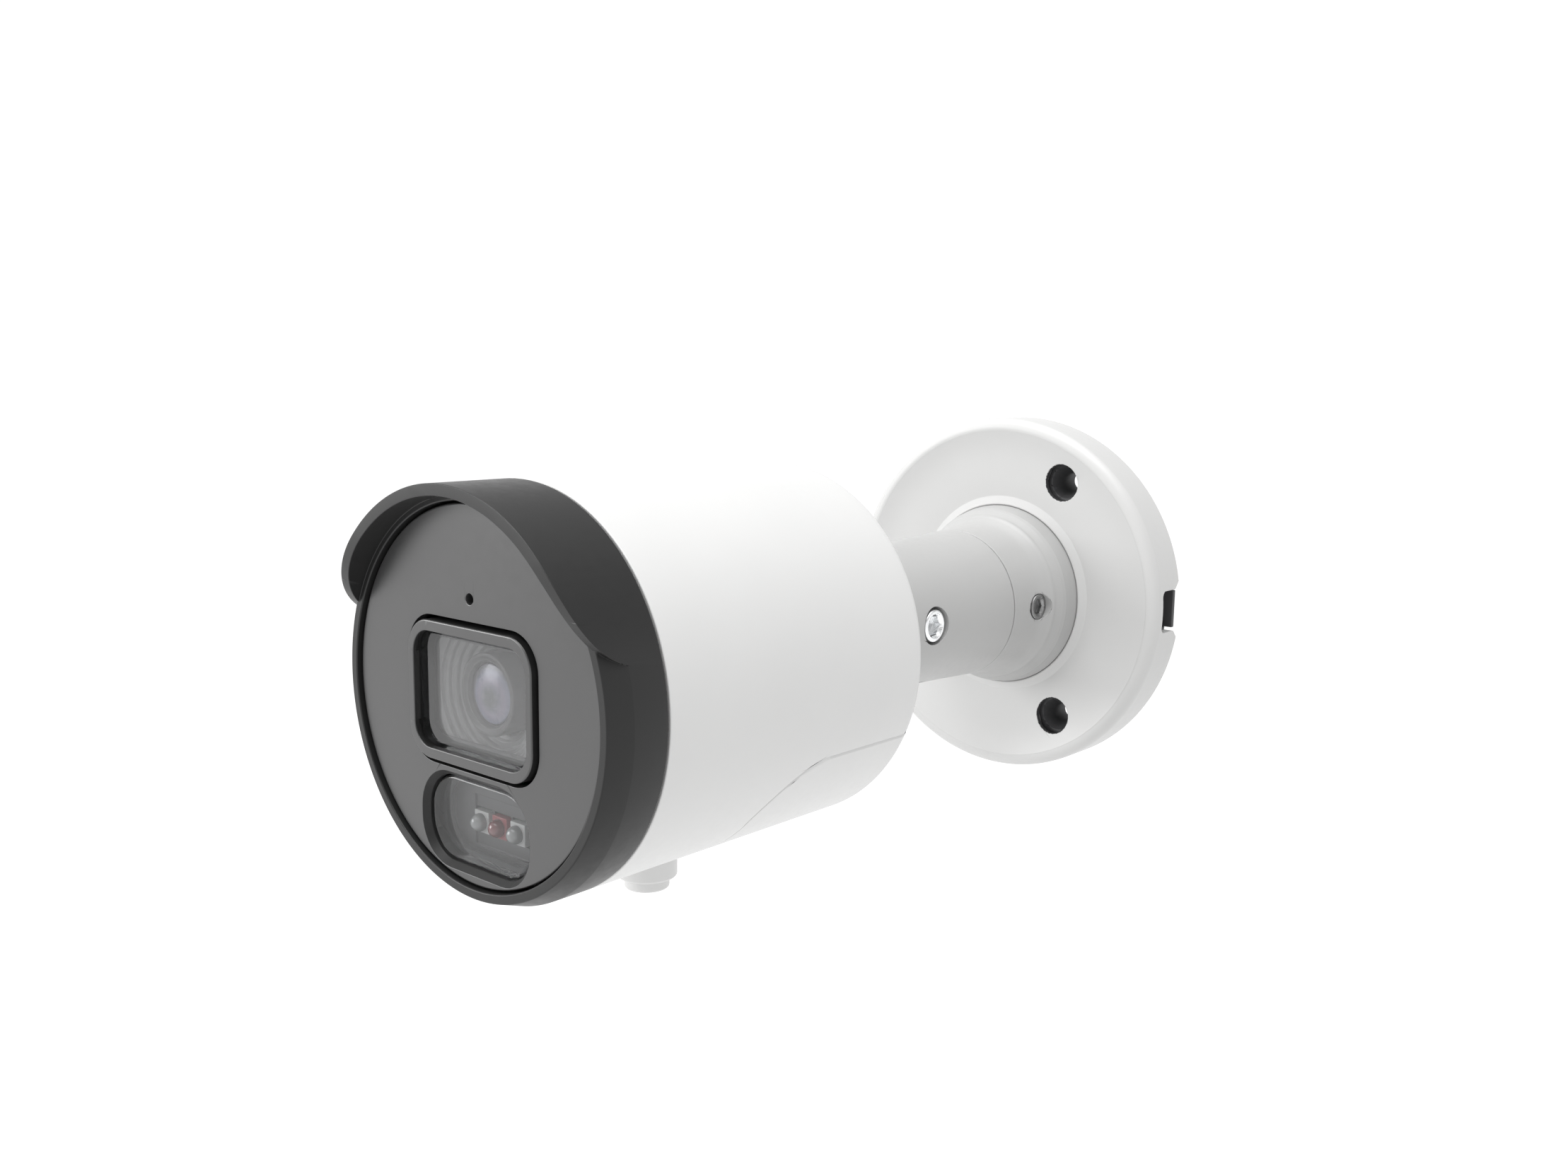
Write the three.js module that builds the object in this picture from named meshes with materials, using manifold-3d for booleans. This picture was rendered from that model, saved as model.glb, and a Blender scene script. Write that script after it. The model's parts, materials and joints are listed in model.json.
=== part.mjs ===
// Bullet security camera on a three-axis wall bracket.
// Millimetres. +Z is up, the wall is the plane Y = 0 and the lens looks along -Y.
// Stations along the main axis are distances from the wall, so a station s lies at Y = -s.
import * as THREE from 'three';
import { mergeVertices } from 'three/addons/utils/BufferGeometryUtils.js';
import Module from 'manifold-3d';

const wasm = await Module();
wasm.setup();

// ---------- driving dimensions ----------
const bodyRadius = 35;
const gap = 0.3; // running and seating clearance between pieces

// sides of the round pieces
const bodySides = 48;
const bracketSides = 36;
const smallSides = 24;

// stations of the bracket, from the wall forward
const baseRim = 12.0;
const baseCentre = 9.2;
const swivelSeam = 29.5;
const hingeStation = 57.7;

// stations of the camera body
const bodyRear = 88.2;
const bodyFront = 154.4;
const bezelCone = 161.6;
const bezelFace = 165.9;
const visorTip = 170.6;
const panelFace = 165.1;

// radii of the bracket
const baseRadius = 42.2;
const armRadiusRear = 16.9;
const armRadiusFront = 14.9;
const swivelSpigot = 13.2;
const wallHoleCircle = 32;
const wallHoleAngles = [60, 180, 300];

// camera body
const wall = 3.8;
const bezelFaceRadius = 33.6;
const panelRadius = 31.6;
const plugStation = 126.5;
const coverFront = 126.2;

// lens window and light window, as half sizes and corner radii
const lensFrame = { halfWidth: 16.3, halfHeight: 11.8, corner: 5.6, z: -0.1 };
const lensPane = { halfWidth: 14.8, halfHeight: 9.9, corner: 4.0, z: -0.1 };
const lightOpening = { halfWidth: 14.4, halfHeight: 8.35, corner: 7.6, z: -21.8 };
const microphoneHeight = 16.2;
const ledHeight = -23.0;
const ledPitch = 4.8;

// ---------- materials ----------
function material(color, roughness, metalness) {
  return new THREE.MeshStandardMaterial({ color, roughness, metalness });
}

const whitePaint = material(0xe4e4e2, 0.45, 0.0);
const darkPlastic = material(0x4a4a4b, 0.5, 0.0);
const panelPlastic = material(0x6a6a6a, 0.35, 0.0);
const blackPlastic = material(0x161616, 0.6, 0.0);
const rubber = material(0x202020, 0.85, 0.0);
const glass = material(0x8f9296, 0.05, 0.0);
const coatedGlass = material(0x75738a, 0.05, 0.0);
const filterGlass = material(0x7c4a5c, 0.05, 0.0);
const steel = material(0xd6d6d4, 0.25, 1.0);
const darkSteel = material(0x6e6e6c, 0.4, 1.0);
const aluminium = material(0xb4b6b8, 0.4, 1.0);
const circuitBoard = material(0x1f5a38, 0.5, 0.0);
const chipBlack = material(0x1b1b1d, 0.4, 0.0);
const clearResin = material(0xc8cac8, 0.1, 0.0);
const redResin = material(0x8c2a30, 0.15, 0.0);

// ---------- solids ----------
function toSolid(geometry) {
  const bare = geometry.clone();
  bare.deleteAttribute('normal');
  bare.deleteAttribute('uv');
  const merged = mergeVertices(bare, 1e-4);
  const points = merged.attributes.position.array;
  const index = merged.index.array;
  const corner = (i) => new THREE.Vector3().fromArray(points, 3 * i);
  const triangles = [];
  let volume = 0;
  for (let i = 0; i < index.length; i += 3) {
    const [a, b, c] = [index[i], index[i + 1], index[i + 2]];
    if (a === b || b === c || c === a) continue;
    triangles.push([a, b, c]);
    volume += corner(a).dot(corner(b).cross(corner(c)));
  }
  const ordered = volume < 0 ? triangles.map(([a, b, c]) => [a, c, b]) : triangles;
  const mesh = new wasm.Mesh({
    numProp: 3,
    vertProperties: new Float32Array(points),
    triVerts: new Uint32Array(ordered.flat()),
  });
  return new wasm.Manifold(mesh);
}

function toGeometry(solid) {
  const { vertProperties, triVerts } = solid.getMesh();
  const geometry = new THREE.BufferGeometry();
  geometry.setAttribute('position', new THREE.BufferAttribute(vertProperties, 3));
  geometry.setIndex(new THREE.BufferAttribute(triVerts, 1));
  return geometry;
}

// a solid of revolution about the main axis, from [radius, station] points
function turned(profile, segments = smallSides) {
  const points = profile.map(([radius, station]) => new THREE.Vector2(radius, -station));
  return toSolid(new THREE.LatheGeometry(points, segments));
}

// a ring of rectangular section between two radii and two stations
function ring(inner, outer, near, far, segments = smallSides) {
  return turned([[inner, near], [outer, near], [outer, far], [inner, far], [inner, near]], segments);
}

// a disc or plug on the main axis
function disc(radius, near, far, segments = smallSides) {
  return turned([[0, near], [radius, near], [radius, far], [0, far]], segments);
}

// a cylinder along one of the world axes, between two coordinates on that axis
function rod(axis, radius, from, to, across = [0, 0], segments = 20) {
  const geometry = new THREE.CylinderGeometry(radius, radius, Math.abs(to - from), segments);
  const middle = (from + to) / 2;
  if (axis === 'x') geometry.rotateZ(Math.PI / 2).translate(middle, across[0], across[1]);
  if (axis === 'y') geometry.translate(across[0], middle, across[1]);
  if (axis === 'z') geometry.rotateX(Math.PI / 2).translate(across[0], across[1], middle);
  return toSolid(geometry);
}

function box(x, y, z) {
  const [width, depth, height] = [x[1] - x[0], y[1] - y[0], z[1] - z[0]];
  const geometry = new THREE.BoxGeometry(width, depth, height);
  return toSolid(geometry.translate((x[0] + x[1]) / 2, (y[0] + y[1]) / 2, (z[0] + z[1]) / 2));
}

// a rounded rectangle with its centre at height z; grow widens it on every side
function roundedRectangle({ halfWidth, halfHeight, corner, z }, grow = 0) {
  const [w, h, r] = [halfWidth + grow, halfHeight + grow, Math.max(corner + grow, 0.4)];
  const shape = new THREE.Shape();
  shape.moveTo(-w + r, z - h);
  shape.lineTo(w - r, z - h);
  shape.absarc(w - r, z - h + r, r, -Math.PI / 2, 0);
  shape.absarc(w - r, z + h - r, r, 0, Math.PI / 2);
  shape.absarc(-w + r, z + h - r, r, Math.PI / 2, Math.PI);
  shape.absarc(-w + r, z - h + r, r, Math.PI, 1.5 * Math.PI);
  return shape;
}

// an outline in the X-Z plane, extruded along the main axis between two stations
function extrudedForward(shape, near, far) {
  const depth = far - near;
  const geometry = new THREE.ExtrudeGeometry(shape, { depth, bevelEnabled: false, curveSegments: 5 });
  return toSolid(geometry.rotateX(Math.PI / 2).translate(0, -near, 0));
}

// ---------- assembly ----------
const camera = new THREE.Group();

function piece(name, solid, look) {
  const mesh = new THREE.Mesh(toGeometry(solid), look);
  mesh.name = name;
  return mesh;
}

// a hexagonal socket or nut outline, from its width across flats
function hexagon(axis, acrossFlats, from, to, across) {
  return rod(axis, acrossFlats / Math.sqrt(3), from, to, across, 6);
}

// ---------- wall base ----------
function wallHoles(radius, near, far) {
  return wallHoleAngles.map((degrees) => {
    const angle = THREE.MathUtils.degToRad(degrees);
    const centre = [wallHoleCircle * Math.cos(angle), wallHoleCircle * Math.sin(angle)];
    return rod('y', radius, -near, -far, centre);
  });
}

const collarHole = 21.7;
const collarScrewCentres = [90, 210, 330].map((degrees) => {
  const angle = THREE.MathUtils.degToRad(degrees);
  return [21.4 * Math.cos(angle), 21.4 * Math.sin(angle)];
});
const inletHalfWidth = 4.8;
const inletDepth = 8.0;

function makeBaseCover() {
  const skin = 2.5;
  const fillet = 1.8;
  const shell = turned([
    [collarHole, baseCentre - skin + 0.6],
    [baseRadius - skin, baseRim - skin],
    [baseRadius - skin, 0],
    [baseRadius, 0],
    [baseRadius, baseRim - fillet],
    [baseRadius - 0.5, baseRim - 0.5],
    [baseRadius - fillet, baseRim],
    [collarHole + 1.9, baseCentre],
    [collarHole, baseCentre + 1.1],
    [collarHole, baseCentre - skin + 0.6],
  ], bodySides);
  const notchWidth = [-inletHalfWidth, inletHalfWidth];
  const notch = box([baseRadius - 6, baseRadius + 1], [-inletDepth, 1], notchWidth);
  return [notch, ...wallHoles(4.3, 0, 20)].reduce((part, cut) => part.subtract(cut), shell);
}

function makeBaseCore() {
  const plate = ring(8.5, baseRadius - 2.5 - 2 * gap, 0, 3.5, bracketSides);
  const rim = ring(34.8 + 2.4, baseRadius - 2.5 - 2 * gap, 3, 8.6, bracketSides);
  const bosses = wallHoles(5.4, 3, 7.6).reduce((all, boss) => all.add(boss), plate.add(rim));
  const channel = box([12, baseRadius], [-7.2, 1], [-4.4, 4.4]);
  const screwSeats = collarScrewCentres.flatMap((centre) => [
    rod('y', 1.9, 1, -5, centre, 12),
    rod('y', 3.1, 1, -2.3, centre, 12),
  ]);
  const cuts = [channel, ...screwSeats, ...wallHoles(2.6, -1, 12)];
  return cuts.reduce((part, cut) => part.subtract(cut), bosses);
}

camera.add(piece('base_cover', makeBaseCover(), whitePaint));
camera.add(piece('base_core', makeBaseCore(), darkPlastic));

const grommet = turned([
  [4, 0.4], [6.6, 0.4], [8.2, 0.4], [8.2, 3.8], [10.2, 3.8], [10.2, 5.2], [4, 5.2], [4, 0.4],
]);
camera.add(piece('cable_grommet', grommet, rubber));

// ---------- swivel collar, fixed to the base ----------
const setScrewStation = 20.3;

function makeSwivelCollar() {
  const shell = turned([
    [swivelSpigot + gap, swivelSeam - gap],
    [armRadiusRear, swivelSeam - gap],
    [17.0, 24.5],
    [17.4, 21.2],
    [18.2, 18.2],
    [19.3, 15.7],
    [20.1, 14.4],
    [20.4, 13.6],
    [collarHole - gap, 10.4],
    [collarHole - gap, 6.2],
    [26, 6.2],
    [26, 3.8],
    [16.6, 3.8],
    [16.6, 13.4],
    [swivelSpigot + gap, 13.4],
    [swivelSpigot + gap, swivelSeam - gap],
  ], bracketSides);
  const screwHoles = collarScrewCentres.map((centre) => rod('y', 1.9, -3, -7, centre, 12));
  const setScrewHole = rod('x', 3.2, swivelSpigot, 30, [-setScrewStation, 0]);
  return [setScrewHole, ...screwHoles].reduce((part, cut) => part.subtract(cut), shell);
}

const setScrew = rod('x', 2.9, swivelSpigot + gap + 0.2, 17.6, [-setScrewStation, 0])
  .subtract(hexagon('x', 3, 15.2, 20, [-setScrewStation, 0]));
camera.add(piece('swivel_collar', makeSwivelCollar(), whitePaint));
camera.add(piece('swivel_set_screw', setScrew, darkSteel));

// screws that hold the collar's flange to the core, from the wall side
collarScrewCentres.forEach((centre, i) => {
  const screw = rod('y', 1.6, -0.6, -6, centre, 12).add(rod('y', 2.8, -0.4, -2, centre, 12));
  camera.add(piece(`collar_screw_${i + 1}`, screw, steel));
});

// ---------- arm, which swivels in the collar ----------
const tongueRadius = 12.7;
const tongueHalfWidth = 5.4;
const slotHalfWidth = 6.5;
const armFront = hingeStation + armRadiusFront;
const boltRadius = 2.5;
const hinge = [-hingeStation, 0];

function makeArm() {
  const body = turned([
    [0, swivelSeam],
    [armRadiusRear, swivelSeam],
    [armRadiusFront, armFront],
    [0, armFront],
  ], bracketSides);
  const spigot = disc(swivelSpigot, 14.4, swivelSeam + 1, bracketSides);
  const nose = rod('x', armRadiusFront, -20, 20, hinge, smallSides);
  const rear = box([-20, 20], [-hingeStation, 0], [-20, 20]);
  const rounded = body.intersect(nose.add(rear)).add(spigot);
  const slot = [-slotHalfWidth, slotHalfWidth];
  const pocket = rod('x', tongueRadius + 0.5, ...slot, hinge, smallSides);
  const front = box(slot, [-armFront - 1, -hingeStation], [-20, 8.9]);
  const below = box(slot, [-hingeStation - 1, -hingeStation + 8.9], [-20, 0]);
  const cableBore = disc(8, 10, hingeStation - 4);
  const boltHole = rod('x', boltRadius + gap, -20, 20, hinge);
  const headSeat = rod('x', 4.1, 11.6, 20, hinge);
  const nutSeat = hexagon('x', 8.6, -20, -11.6, hinge);
  const cuts = [pocket, front, below, cableBore, boltHole, headSeat, nutSeat];
  return cuts.reduce((part, cut) => part.subtract(cut), rounded);
}

const hingeBolt = rod('x', 3.5, 11.9, 15.3, hinge)
  .add(rod('x', boltRadius, -14.6, 12, hinge))
  .subtract(hexagon('x', 4, 13, 20, hinge));
const hingeNut = hexagon('x', 8, -15.2, -11.9, hinge)
  .subtract(rod('x', boltRadius + 0.2, -20, 0, hinge));
camera.add(piece('swivel_arm', makeArm(), whitePaint));
camera.add(piece('hinge_bolt', hingeBolt, steel));
camera.add(piece('hinge_nut', hingeNut, steel));
[['left', -1], ['right', 1]].forEach(([side, sign]) => {
  const [inner, outer] = [tongueHalfWidth + 0.3, slotHalfWidth - 0.3];
  const washer = rod('x', 6.5, sign * inner, sign * outer, hinge)
    .subtract(rod('x', boltRadius + gap, -20, 20, hinge));
  camera.add(piece(`friction_washer_${side}`, washer, darkSteel));
});

// ring nut behind the collar that keeps the spigot in
const retainer = ring(8.4, 16.2, 10.4, 13.0);
const retainerNeck = ring(8.4, swivelSpigot - 0.6, 12.9, 14.1);
camera.add(piece('swivel_retainer', retainer.add(retainerNeck), darkSteel));

// ---------- tail, which tilts on the hinge bolt ----------
const tailFlange = 12;
const studRadius = 6;
const neckStart = 76.4;

function makeTail() {
  const tongue = rod('x', tongueRadius, -tongueHalfWidth, tongueHalfWidth, hinge, smallSides);
  const bar = box([-tongueHalfWidth, tongueHalfWidth], [-neckStart - 1, -hingeStation], [-8.3, 8.3]);
  const neck = turned([
    [0, neckStart],
    [9.5, neckStart],
    [tailFlange, neckStart + 3],
    [tailFlange, bodyRear - gap],
    [0, bodyRear - gap],
  ]);
  const stud = disc(studRadius, bodyRear - 1, bodyRear + 11);
  const solid = tongue.add(bar).add(neck).add(stud);
  const cableBore = disc(3.6, hingeStation + 5, bodyRear + 12);
  const boltHole = rod('x', boltRadius + gap, -20, 20, hinge);
  const cableMouth = rod('y', 3.6, -hingeStation - 8, -hingeStation + 20, [0, 8]);
  return [cableBore, boltHole, cableMouth].reduce((part, cut) => part.subtract(cut), solid);
}

camera.add(piece('tail_tongue', makeTail(), whitePaint));
const rollNut = disc(11, bodyRear + 5.3, bodyRear + 9, 6).subtract(disc(studRadius + gap, 80, 110));
camera.add(piece('roll_nut', rollNut, steel));
camera.add(piece('roll_seal', ring(studRadius + 0.3, 8, bodyRear + 0.5, bodyRear + 3), rubber));

// ---------- body housing ----------
const shellInner = bodyRadius - wall;
const coverInner = bodyRadius - 1.5;
const rebate = bodyRadius - 2.6;
const plugAcross = [0, -plugStation];
const plugSeat = -34.1;
const coverScrewAcross = [0, -bodyRear - 5];

// plan outline of the access cover, seen from below; inset shrinks its sides and front
function coverOutline(inset, rearStation) {
  const side = 32 - inset;
  const front = -coverFront + inset;
  const rear = -rearStation;
  const [cornerX, cornerY] = [7.3, 13.8];
  const shape = new THREE.Shape();
  shape.moveTo(-side, rear);
  shape.lineTo(-side, front + cornerY);
  shape.absellipse(-side + cornerX, front + cornerY, cornerX, cornerY, Math.PI, 1.5 * Math.PI, false);
  shape.lineTo(side - cornerX, front);
  shape.absellipse(side - cornerX, front + cornerY, cornerX, cornerY, -Math.PI / 2, 0, false);
  shape.lineTo(side, rear);
  return shape;
}

// a plan outline, extruded upward through the lower half of the body
function underside(shape) {
  const geometry = new THREE.ExtrudeGeometry(shape, { depth: 32, bevelEnabled: false, curveSegments: 8 });
  return toSolid(geometry.translate(0, 0, -40));
}

function makeHousing() {
  const shell = turned([
    [8.6, bodyRear],
    [32, bodyRear],
    [33.6, bodyRear + 0.5],
    [34.6, bodyRear + 1.5],
    [bodyRadius, bodyRear + 3],
    [bodyRadius, bodyFront - 0.2],
    [shellInner, bodyFront - 0.2],
    [shellInner, bodyRear + 4],
    [8.6, bodyRear + 4],
    [8.6, bodyRear],
  ], bodySides);
  const recess = underside(coverOutline(0, bodyRear - 1)).subtract(disc(rebate, 80, 160, bodySides));
  const opening = underside(coverOutline(4, bodyRear + 12));
  const seat = rod('z', 6, -40, plugSeat, plugAcross, 32);
  const stemHole = rod('z', 3.3, -40, -25, plugAcross);
  const screwHole = rod('z', 1.9, -40, -25, coverScrewAcross, 16);
  return [recess, opening, seat, stemHole, screwHole].reduce((part, cut) => part.subtract(cut), shell);
}

function makeAccessCover() {
  const outline = underside(coverOutline(0.2, bodyRear - 1));
  const plate = ring(coverInner, bodyRadius, bodyRear + 0.1, coverFront, bodySides).intersect(outline);
  const rearTrim = turned([
    [30, bodyRear - 1],
    [40, bodyRear - 1],
    [40, bodyRear + 3],
    [bodyRadius, bodyRear + 3],
    [34.6, bodyRear + 1.5],
    [33.6, bodyRear + 0.5],
    [32, bodyRear],
    [30, bodyRear],
    [30, bodyRear - 1],
  ], bodySides);
  const seat = rod('z', 6, -40, plugSeat, plugAcross, 32);
  const stemHole = rod('z', 3.3, -40, -25, plugAcross);
  const screwHole = rod('z', 1.6, -40, -25, coverScrewAcross, 16);
  const countersink = rod('z', 3, -40, -34.1, coverScrewAcross, 24);
  const cuts = [rearTrim, seat, stemHole, screwHole, countersink];
  return cuts.reduce((part, cut) => part.subtract(cut), plate);
}

function makeCoverSeal() {
  const outer = underside(coverOutline(0.6, bodyRear + 8.6));
  const inner = underside(coverOutline(3.2, bodyRear + 11.2));
  const band = ring(rebate + 0.25, coverInner - 0.25, bodyRear + 0.5, coverFront + 1, bodySides);
  const stemHole = rod('z', 3.6, -40, -25, plugAcross);
  return band.intersect(outer).subtract(inner).subtract(stemHole);
}

const coverScrew = rod('z', 2.7, -34.9, -34.3, coverScrewAcross)
  .add(rod('z', 1.3, -34.4, -28, coverScrewAcross, 12));
const plug = rod('z', 5.6, -40, plugSeat - 0.3, plugAcross, smallSides)
  .add(rod('z', 4.2, -42.2, -39.9, plugAcross, smallSides))
  .add(rod('z', 3, plugSeat - 0.5, -29.5, plugAcross));
const plugNut = rod('z', 4.6, -30.6, -28.4, plugAcross, 6).subtract(rod('z', 3.2, -40, -20, plugAcross));
camera.add(piece('housing_shell', makeHousing(), whitePaint));
camera.add(piece('access_cover', makeAccessCover(), whitePaint));
camera.add(piece('access_cover_seal', makeCoverSeal(), rubber));
camera.add(piece('access_cover_screw', coverScrew, steel));
camera.add(piece('vent_plug', plug, whitePaint));
camera.add(piece('vent_plug_nut', plugNut, blackPlastic));

// ---------- bezel with its visor ----------
const skirtOuter = 30;
const panelLedge = 160.5;

function visorSideProfile() {
  const shape = new THREE.Shape();
  shape.moveTo(bezelCone - 2, 40);
  shape.lineTo(visorTip, 40);
  shape.lineTo(visorTip, 25);
  shape.bezierCurveTo(visorTip, 16.5, 167, 11.5, bezelCone, 9.7);
  shape.lineTo(bezelCone - 2, 9.7);
  return shape;
}

function makeBezel() {
  const band = turned([
    [skirtOuter, bodyFront - 6],
    [skirtOuter, bodyFront - 4],
    [skirtOuter - 0.6, bodyFront - 4],
    [skirtOuter - 0.6, bodyFront - 2.4],
    [skirtOuter, bodyFront - 2.4],
    [skirtOuter, bodyFront + 0.2],
    [bodyRadius, bodyFront + 0.2],
    [bodyRadius, bezelCone],
    [bezelFaceRadius, bezelFace],
    [panelRadius + 0.4, bezelFace],
    [panelRadius + 0.4, panelLedge],
    [skirtOuter - 2, panelLedge],
    [skirtOuter - 2, bodyFront - 6],
    [skirtOuter, bodyFront - 6],
  ], bodySides);
  const extrusion = { depth: 80, bevelEnabled: false, curveSegments: 10 };
  const side = new THREE.ExtrudeGeometry(visorSideProfile(), extrusion);
  // the profile's (station, height) plane becomes (-Y, Z) and its depth runs along X
  side.applyMatrix4(new THREE.Matrix4().set(0, 0, 1, -40, -1, 0, 0, 0, 0, 1, 0, 0, 0, 0, 0, 1));
  const hoodRing = ring(bodyRadius - 2, bodyRadius, bezelCone - 2, visorTip, bodySides);
  const hood = hoodRing.intersect(toSolid(side));
  const lightRelief = extrudedForward(roundedRectangle(lightOpening, -1.3), 140, panelLedge + 0.2);
  return band.add(hood).subtract(lightRelief);
}

const frontSeal = turned([
  [29.75, 151.05],
  [30.3, 150.75],
  [30.85, 151.05],
  [30.85, 151.55],
  [30.3, 151.85],
  [29.75, 151.55],
  [29.75, 151.05],
], bodySides);
camera.add(piece('bezel_visor', makeBezel(), darkPlastic));
camera.add(piece('front_seal', frontSeal, rubber));

// ---------- front panel ----------
function makePanel() {
  const dish = turned([
    [0, panelFace - 2],
    [panelRadius - 1.8, panelFace - 2],
    [panelRadius - 1.8, panelLedge + 0.3],
    [panelRadius, panelLedge + 0.3],
    [panelRadius, panelFace],
    [0, panelFace],
  ], bodySides);
  const cuts = [
    extrudedForward(roundedRectangle(lensFrame, 0.6), 150, 170),
    extrudedForward(roundedRectangle(lightOpening), panelFace - 1.1, 170),
    extrudedForward(roundedRectangle(lightOpening, -0.9), 150, 170),
    rod('y', 0.9, -150, -170, [0, microphoneHeight], 20),
  ];
  return cuts.reduce((part, cut) => part.subtract(cut), dish);
}

camera.add(piece('front_panel', makePanel(), panelPlastic));

// ---------- lens window ----------
const frameFace = 165.9;
const paneFace = 164.4;
const paneBack = 163.2;
const lensFrameSolid = extrudedForward(roundedRectangle(lensFrame), 155, frameFace)
  .subtract(extrudedForward(roundedRectangle(lensPane), 150, 170))
  .subtract(extrudedForward(roundedRectangle(lensPane, 0.6), 150, paneFace + 0.3));
const lensWindow = extrudedForward(roundedRectangle(lensPane, 0.3), paneBack, paneFace);
const windowGasket = extrudedForward(roundedRectangle(lensPane, 0.3), 162.4, paneBack - 0.3)
  .subtract(extrudedForward(roundedRectangle(lensPane, -1.4), 150, 170));
const shroudSteps = [[12.6, 161.4], [11.5, 160.6], [10.4, 159.8], [9.3, 159], [7.4, 140]];
const shroud = shroudSteps.reduce(
  (part, [radius, station]) => part.subtract(disc(radius, station, 170)),
  extrudedForward(roundedRectangle(lensPane, 0.3), 155.6, 162.1),
);
camera.add(piece('lens_frame', lensFrameSolid, panelPlastic));
camera.add(piece('lens_window', lensWindow, glass));
camera.add(piece('lens_window_gasket', windowGasket, rubber));
camera.add(piece('lens_shroud', shroud, blackPlastic));

// ---------- lens and sensor ----------
const lensBarrel = turned([
  [3.6, 143], [5.9, 143], [5.9, 154], [7.0, 154], [7.0, 162.0], [6.4, 162.0], [5.3, 161.1],
  [5.3, 157.5], [4.4, 157.5], [4.4, 146], [3.6, 146], [3.6, 143],
]);
const frontLens = turned([
  [0, 158], [5.0, 158], [5.0, 160], [4.3, 160.8], [3.2, 161.5], [1.7, 161.9], [0, 162.05],
]);
const rearLens = turned([[0, 146.4], [4.1, 146.4], [4.1, 148.2], [0, 148.8]]);
const holderBase = box([-11, 11], [-145, -142.6], [-11, 11]);
const lensHolder = holderBase.add(disc(8.2, 142.6, 152.4)).subtract(disc(6.2, 140, 160));
camera.add(piece('lens_barrel', lensBarrel, blackPlastic));
camera.add(piece('front_lens', frontLens, coatedGlass));
camera.add(piece('rear_lens', rearLens, glass));
camera.add(piece('lens_holder', lensHolder, blackPlastic));

const filterFrame = box([-12, 12], [-142.3, -138.9], [-6.5, 6.5])
  .subtract(box([-4.6, 13], [-141.4, -139.8], [-4.9, 4.9]))
  .subtract(box([-4, 4], [-150, -130], [-4, 4]));
const filterPlate = box([-4.2, 4.2], [-141.1, -140.1], [-4.5, 4.5]);
const filterCoil = rod('x', 2.2, -8, 8, [-139.9, 9.2]);
const sensorBoard = box([-16, 16], [-136.4, -135.2], [-16, 16]);
const imageSensor = box([-5, 5], [-138.5, -136.7], [-4.5, 4.5]);
camera.add(piece('filter_frame', filterFrame, blackPlastic));
camera.add(piece('infrared_cut_filter', filterPlate, filterGlass));
camera.add(piece('filter_coil', filterCoil, darkSteel));
camera.add(piece('sensor_board', sensorBoard, circuitBoard));
camera.add(piece('image_sensor', imageSensor, chipBlack));

// ---------- light window and its three emitters ----------
const lightWindow = extrudedForward(roundedRectangle(lightOpening, -1.2), 162.3, panelFace - 1.2);
const lightGasket = extrudedForward(roundedRectangle(lightOpening, -1.6), 161, 162)
  .subtract(extrudedForward(roundedRectangle(lightOpening, -2.6), 150, 170));
const ledBoard = extrudedForward(roundedRectangle(lightOpening, -1.6), 157.1, 158.3);
const ledColumns = [-ledPitch, 0, ledPitch];
const emitterHole = (x) => box([x - 2.35, x + 2.35], [-161, -150], [ledHeight - 2.35, ledHeight + 2.35]);
const lightMask = ledColumns.reduce(
  (part, x) => part.subtract(emitterHole(x)),
  extrudedForward(roundedRectangle(lightOpening, -1.6), 158.6, 159.6),
);

function makeEmitter(x) {
  const base = box([x - 2, x + 2], [-160, -158.6], [ledHeight - 2, ledHeight + 2]);
  const dome = toSolid(new THREE.SphereGeometry(1.35, 16, 9).translate(x, -160.45, ledHeight));
  return base.add(dome);
}

camera.add(piece('light_window', lightWindow, glass));
camera.add(piece('light_window_gasket', lightGasket, rubber));
camera.add(piece('light_mask', lightMask, panelPlastic));
camera.add(piece('light_board', ledBoard, circuitBoard));
camera.add(piece('white_light_left', makeEmitter(ledColumns[0]), clearResin));
camera.add(piece('infrared_light', makeEmitter(ledColumns[1]), redResin));
camera.add(piece('white_light_right', makeEmitter(ledColumns[2]), clearResin));

// ---------- microphone ----------
const micAcross = [0, microphoneHeight + 0.6];
const microphone = rod('y', 2.6, -158.2, -160.4, micAcross);
const microphoneBoot = rod('y', 3.8, -158, -162.7, micAcross)
  .subtract(rod('y', 2.9, -150, -160.7, micAcross))
  .subtract(rod('y', 0.9, -150, -170, [0, microphoneHeight], 16));
camera.add(piece('microphone', microphone, darkSteel));
camera.add(piece('microphone_boot', microphoneBoot, rubber));

// ---------- boards and their chassis ----------
const boardStation = 118;
const chassisSlot = box([-30, 30], [-133, -100], [-40, -14]);
const chassis = ring(25.6, 27.4, 112, 147.5).subtract(chassisSlot)
  .add(ring(24.2, 26, boardStation + 1.7, boardStation + 3.2).subtract(chassisSlot));
const mainBoard = disc(25.2, boardStation, boardStation + 1.4);
const processor = box([-7, 7], [-boardStation - 3, -boardStation - 1.7], [-5, 9]);
const sinkBase = box([-11, 11], [-boardStation - 5.2, -boardStation - 3.3], [-9, 13]);
const fins = [-10.2, -6.8, -3.4, 0, 3.4, 6.8, 10.2];
const heatSink = fins.reduce(
  (part, x) => part.add(box([x - 0.7, x + 0.7], [-boardStation - 9, -boardStation - 5], [-9, 13])),
  sinkBase,
);
const ioBoard = box([-15, 15], [-115, -98], [-24, -22.8]);
const slotShell = box([-7.5, 7.5], [-113.5, -99.5], [-26.6, -24.3]);
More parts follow.
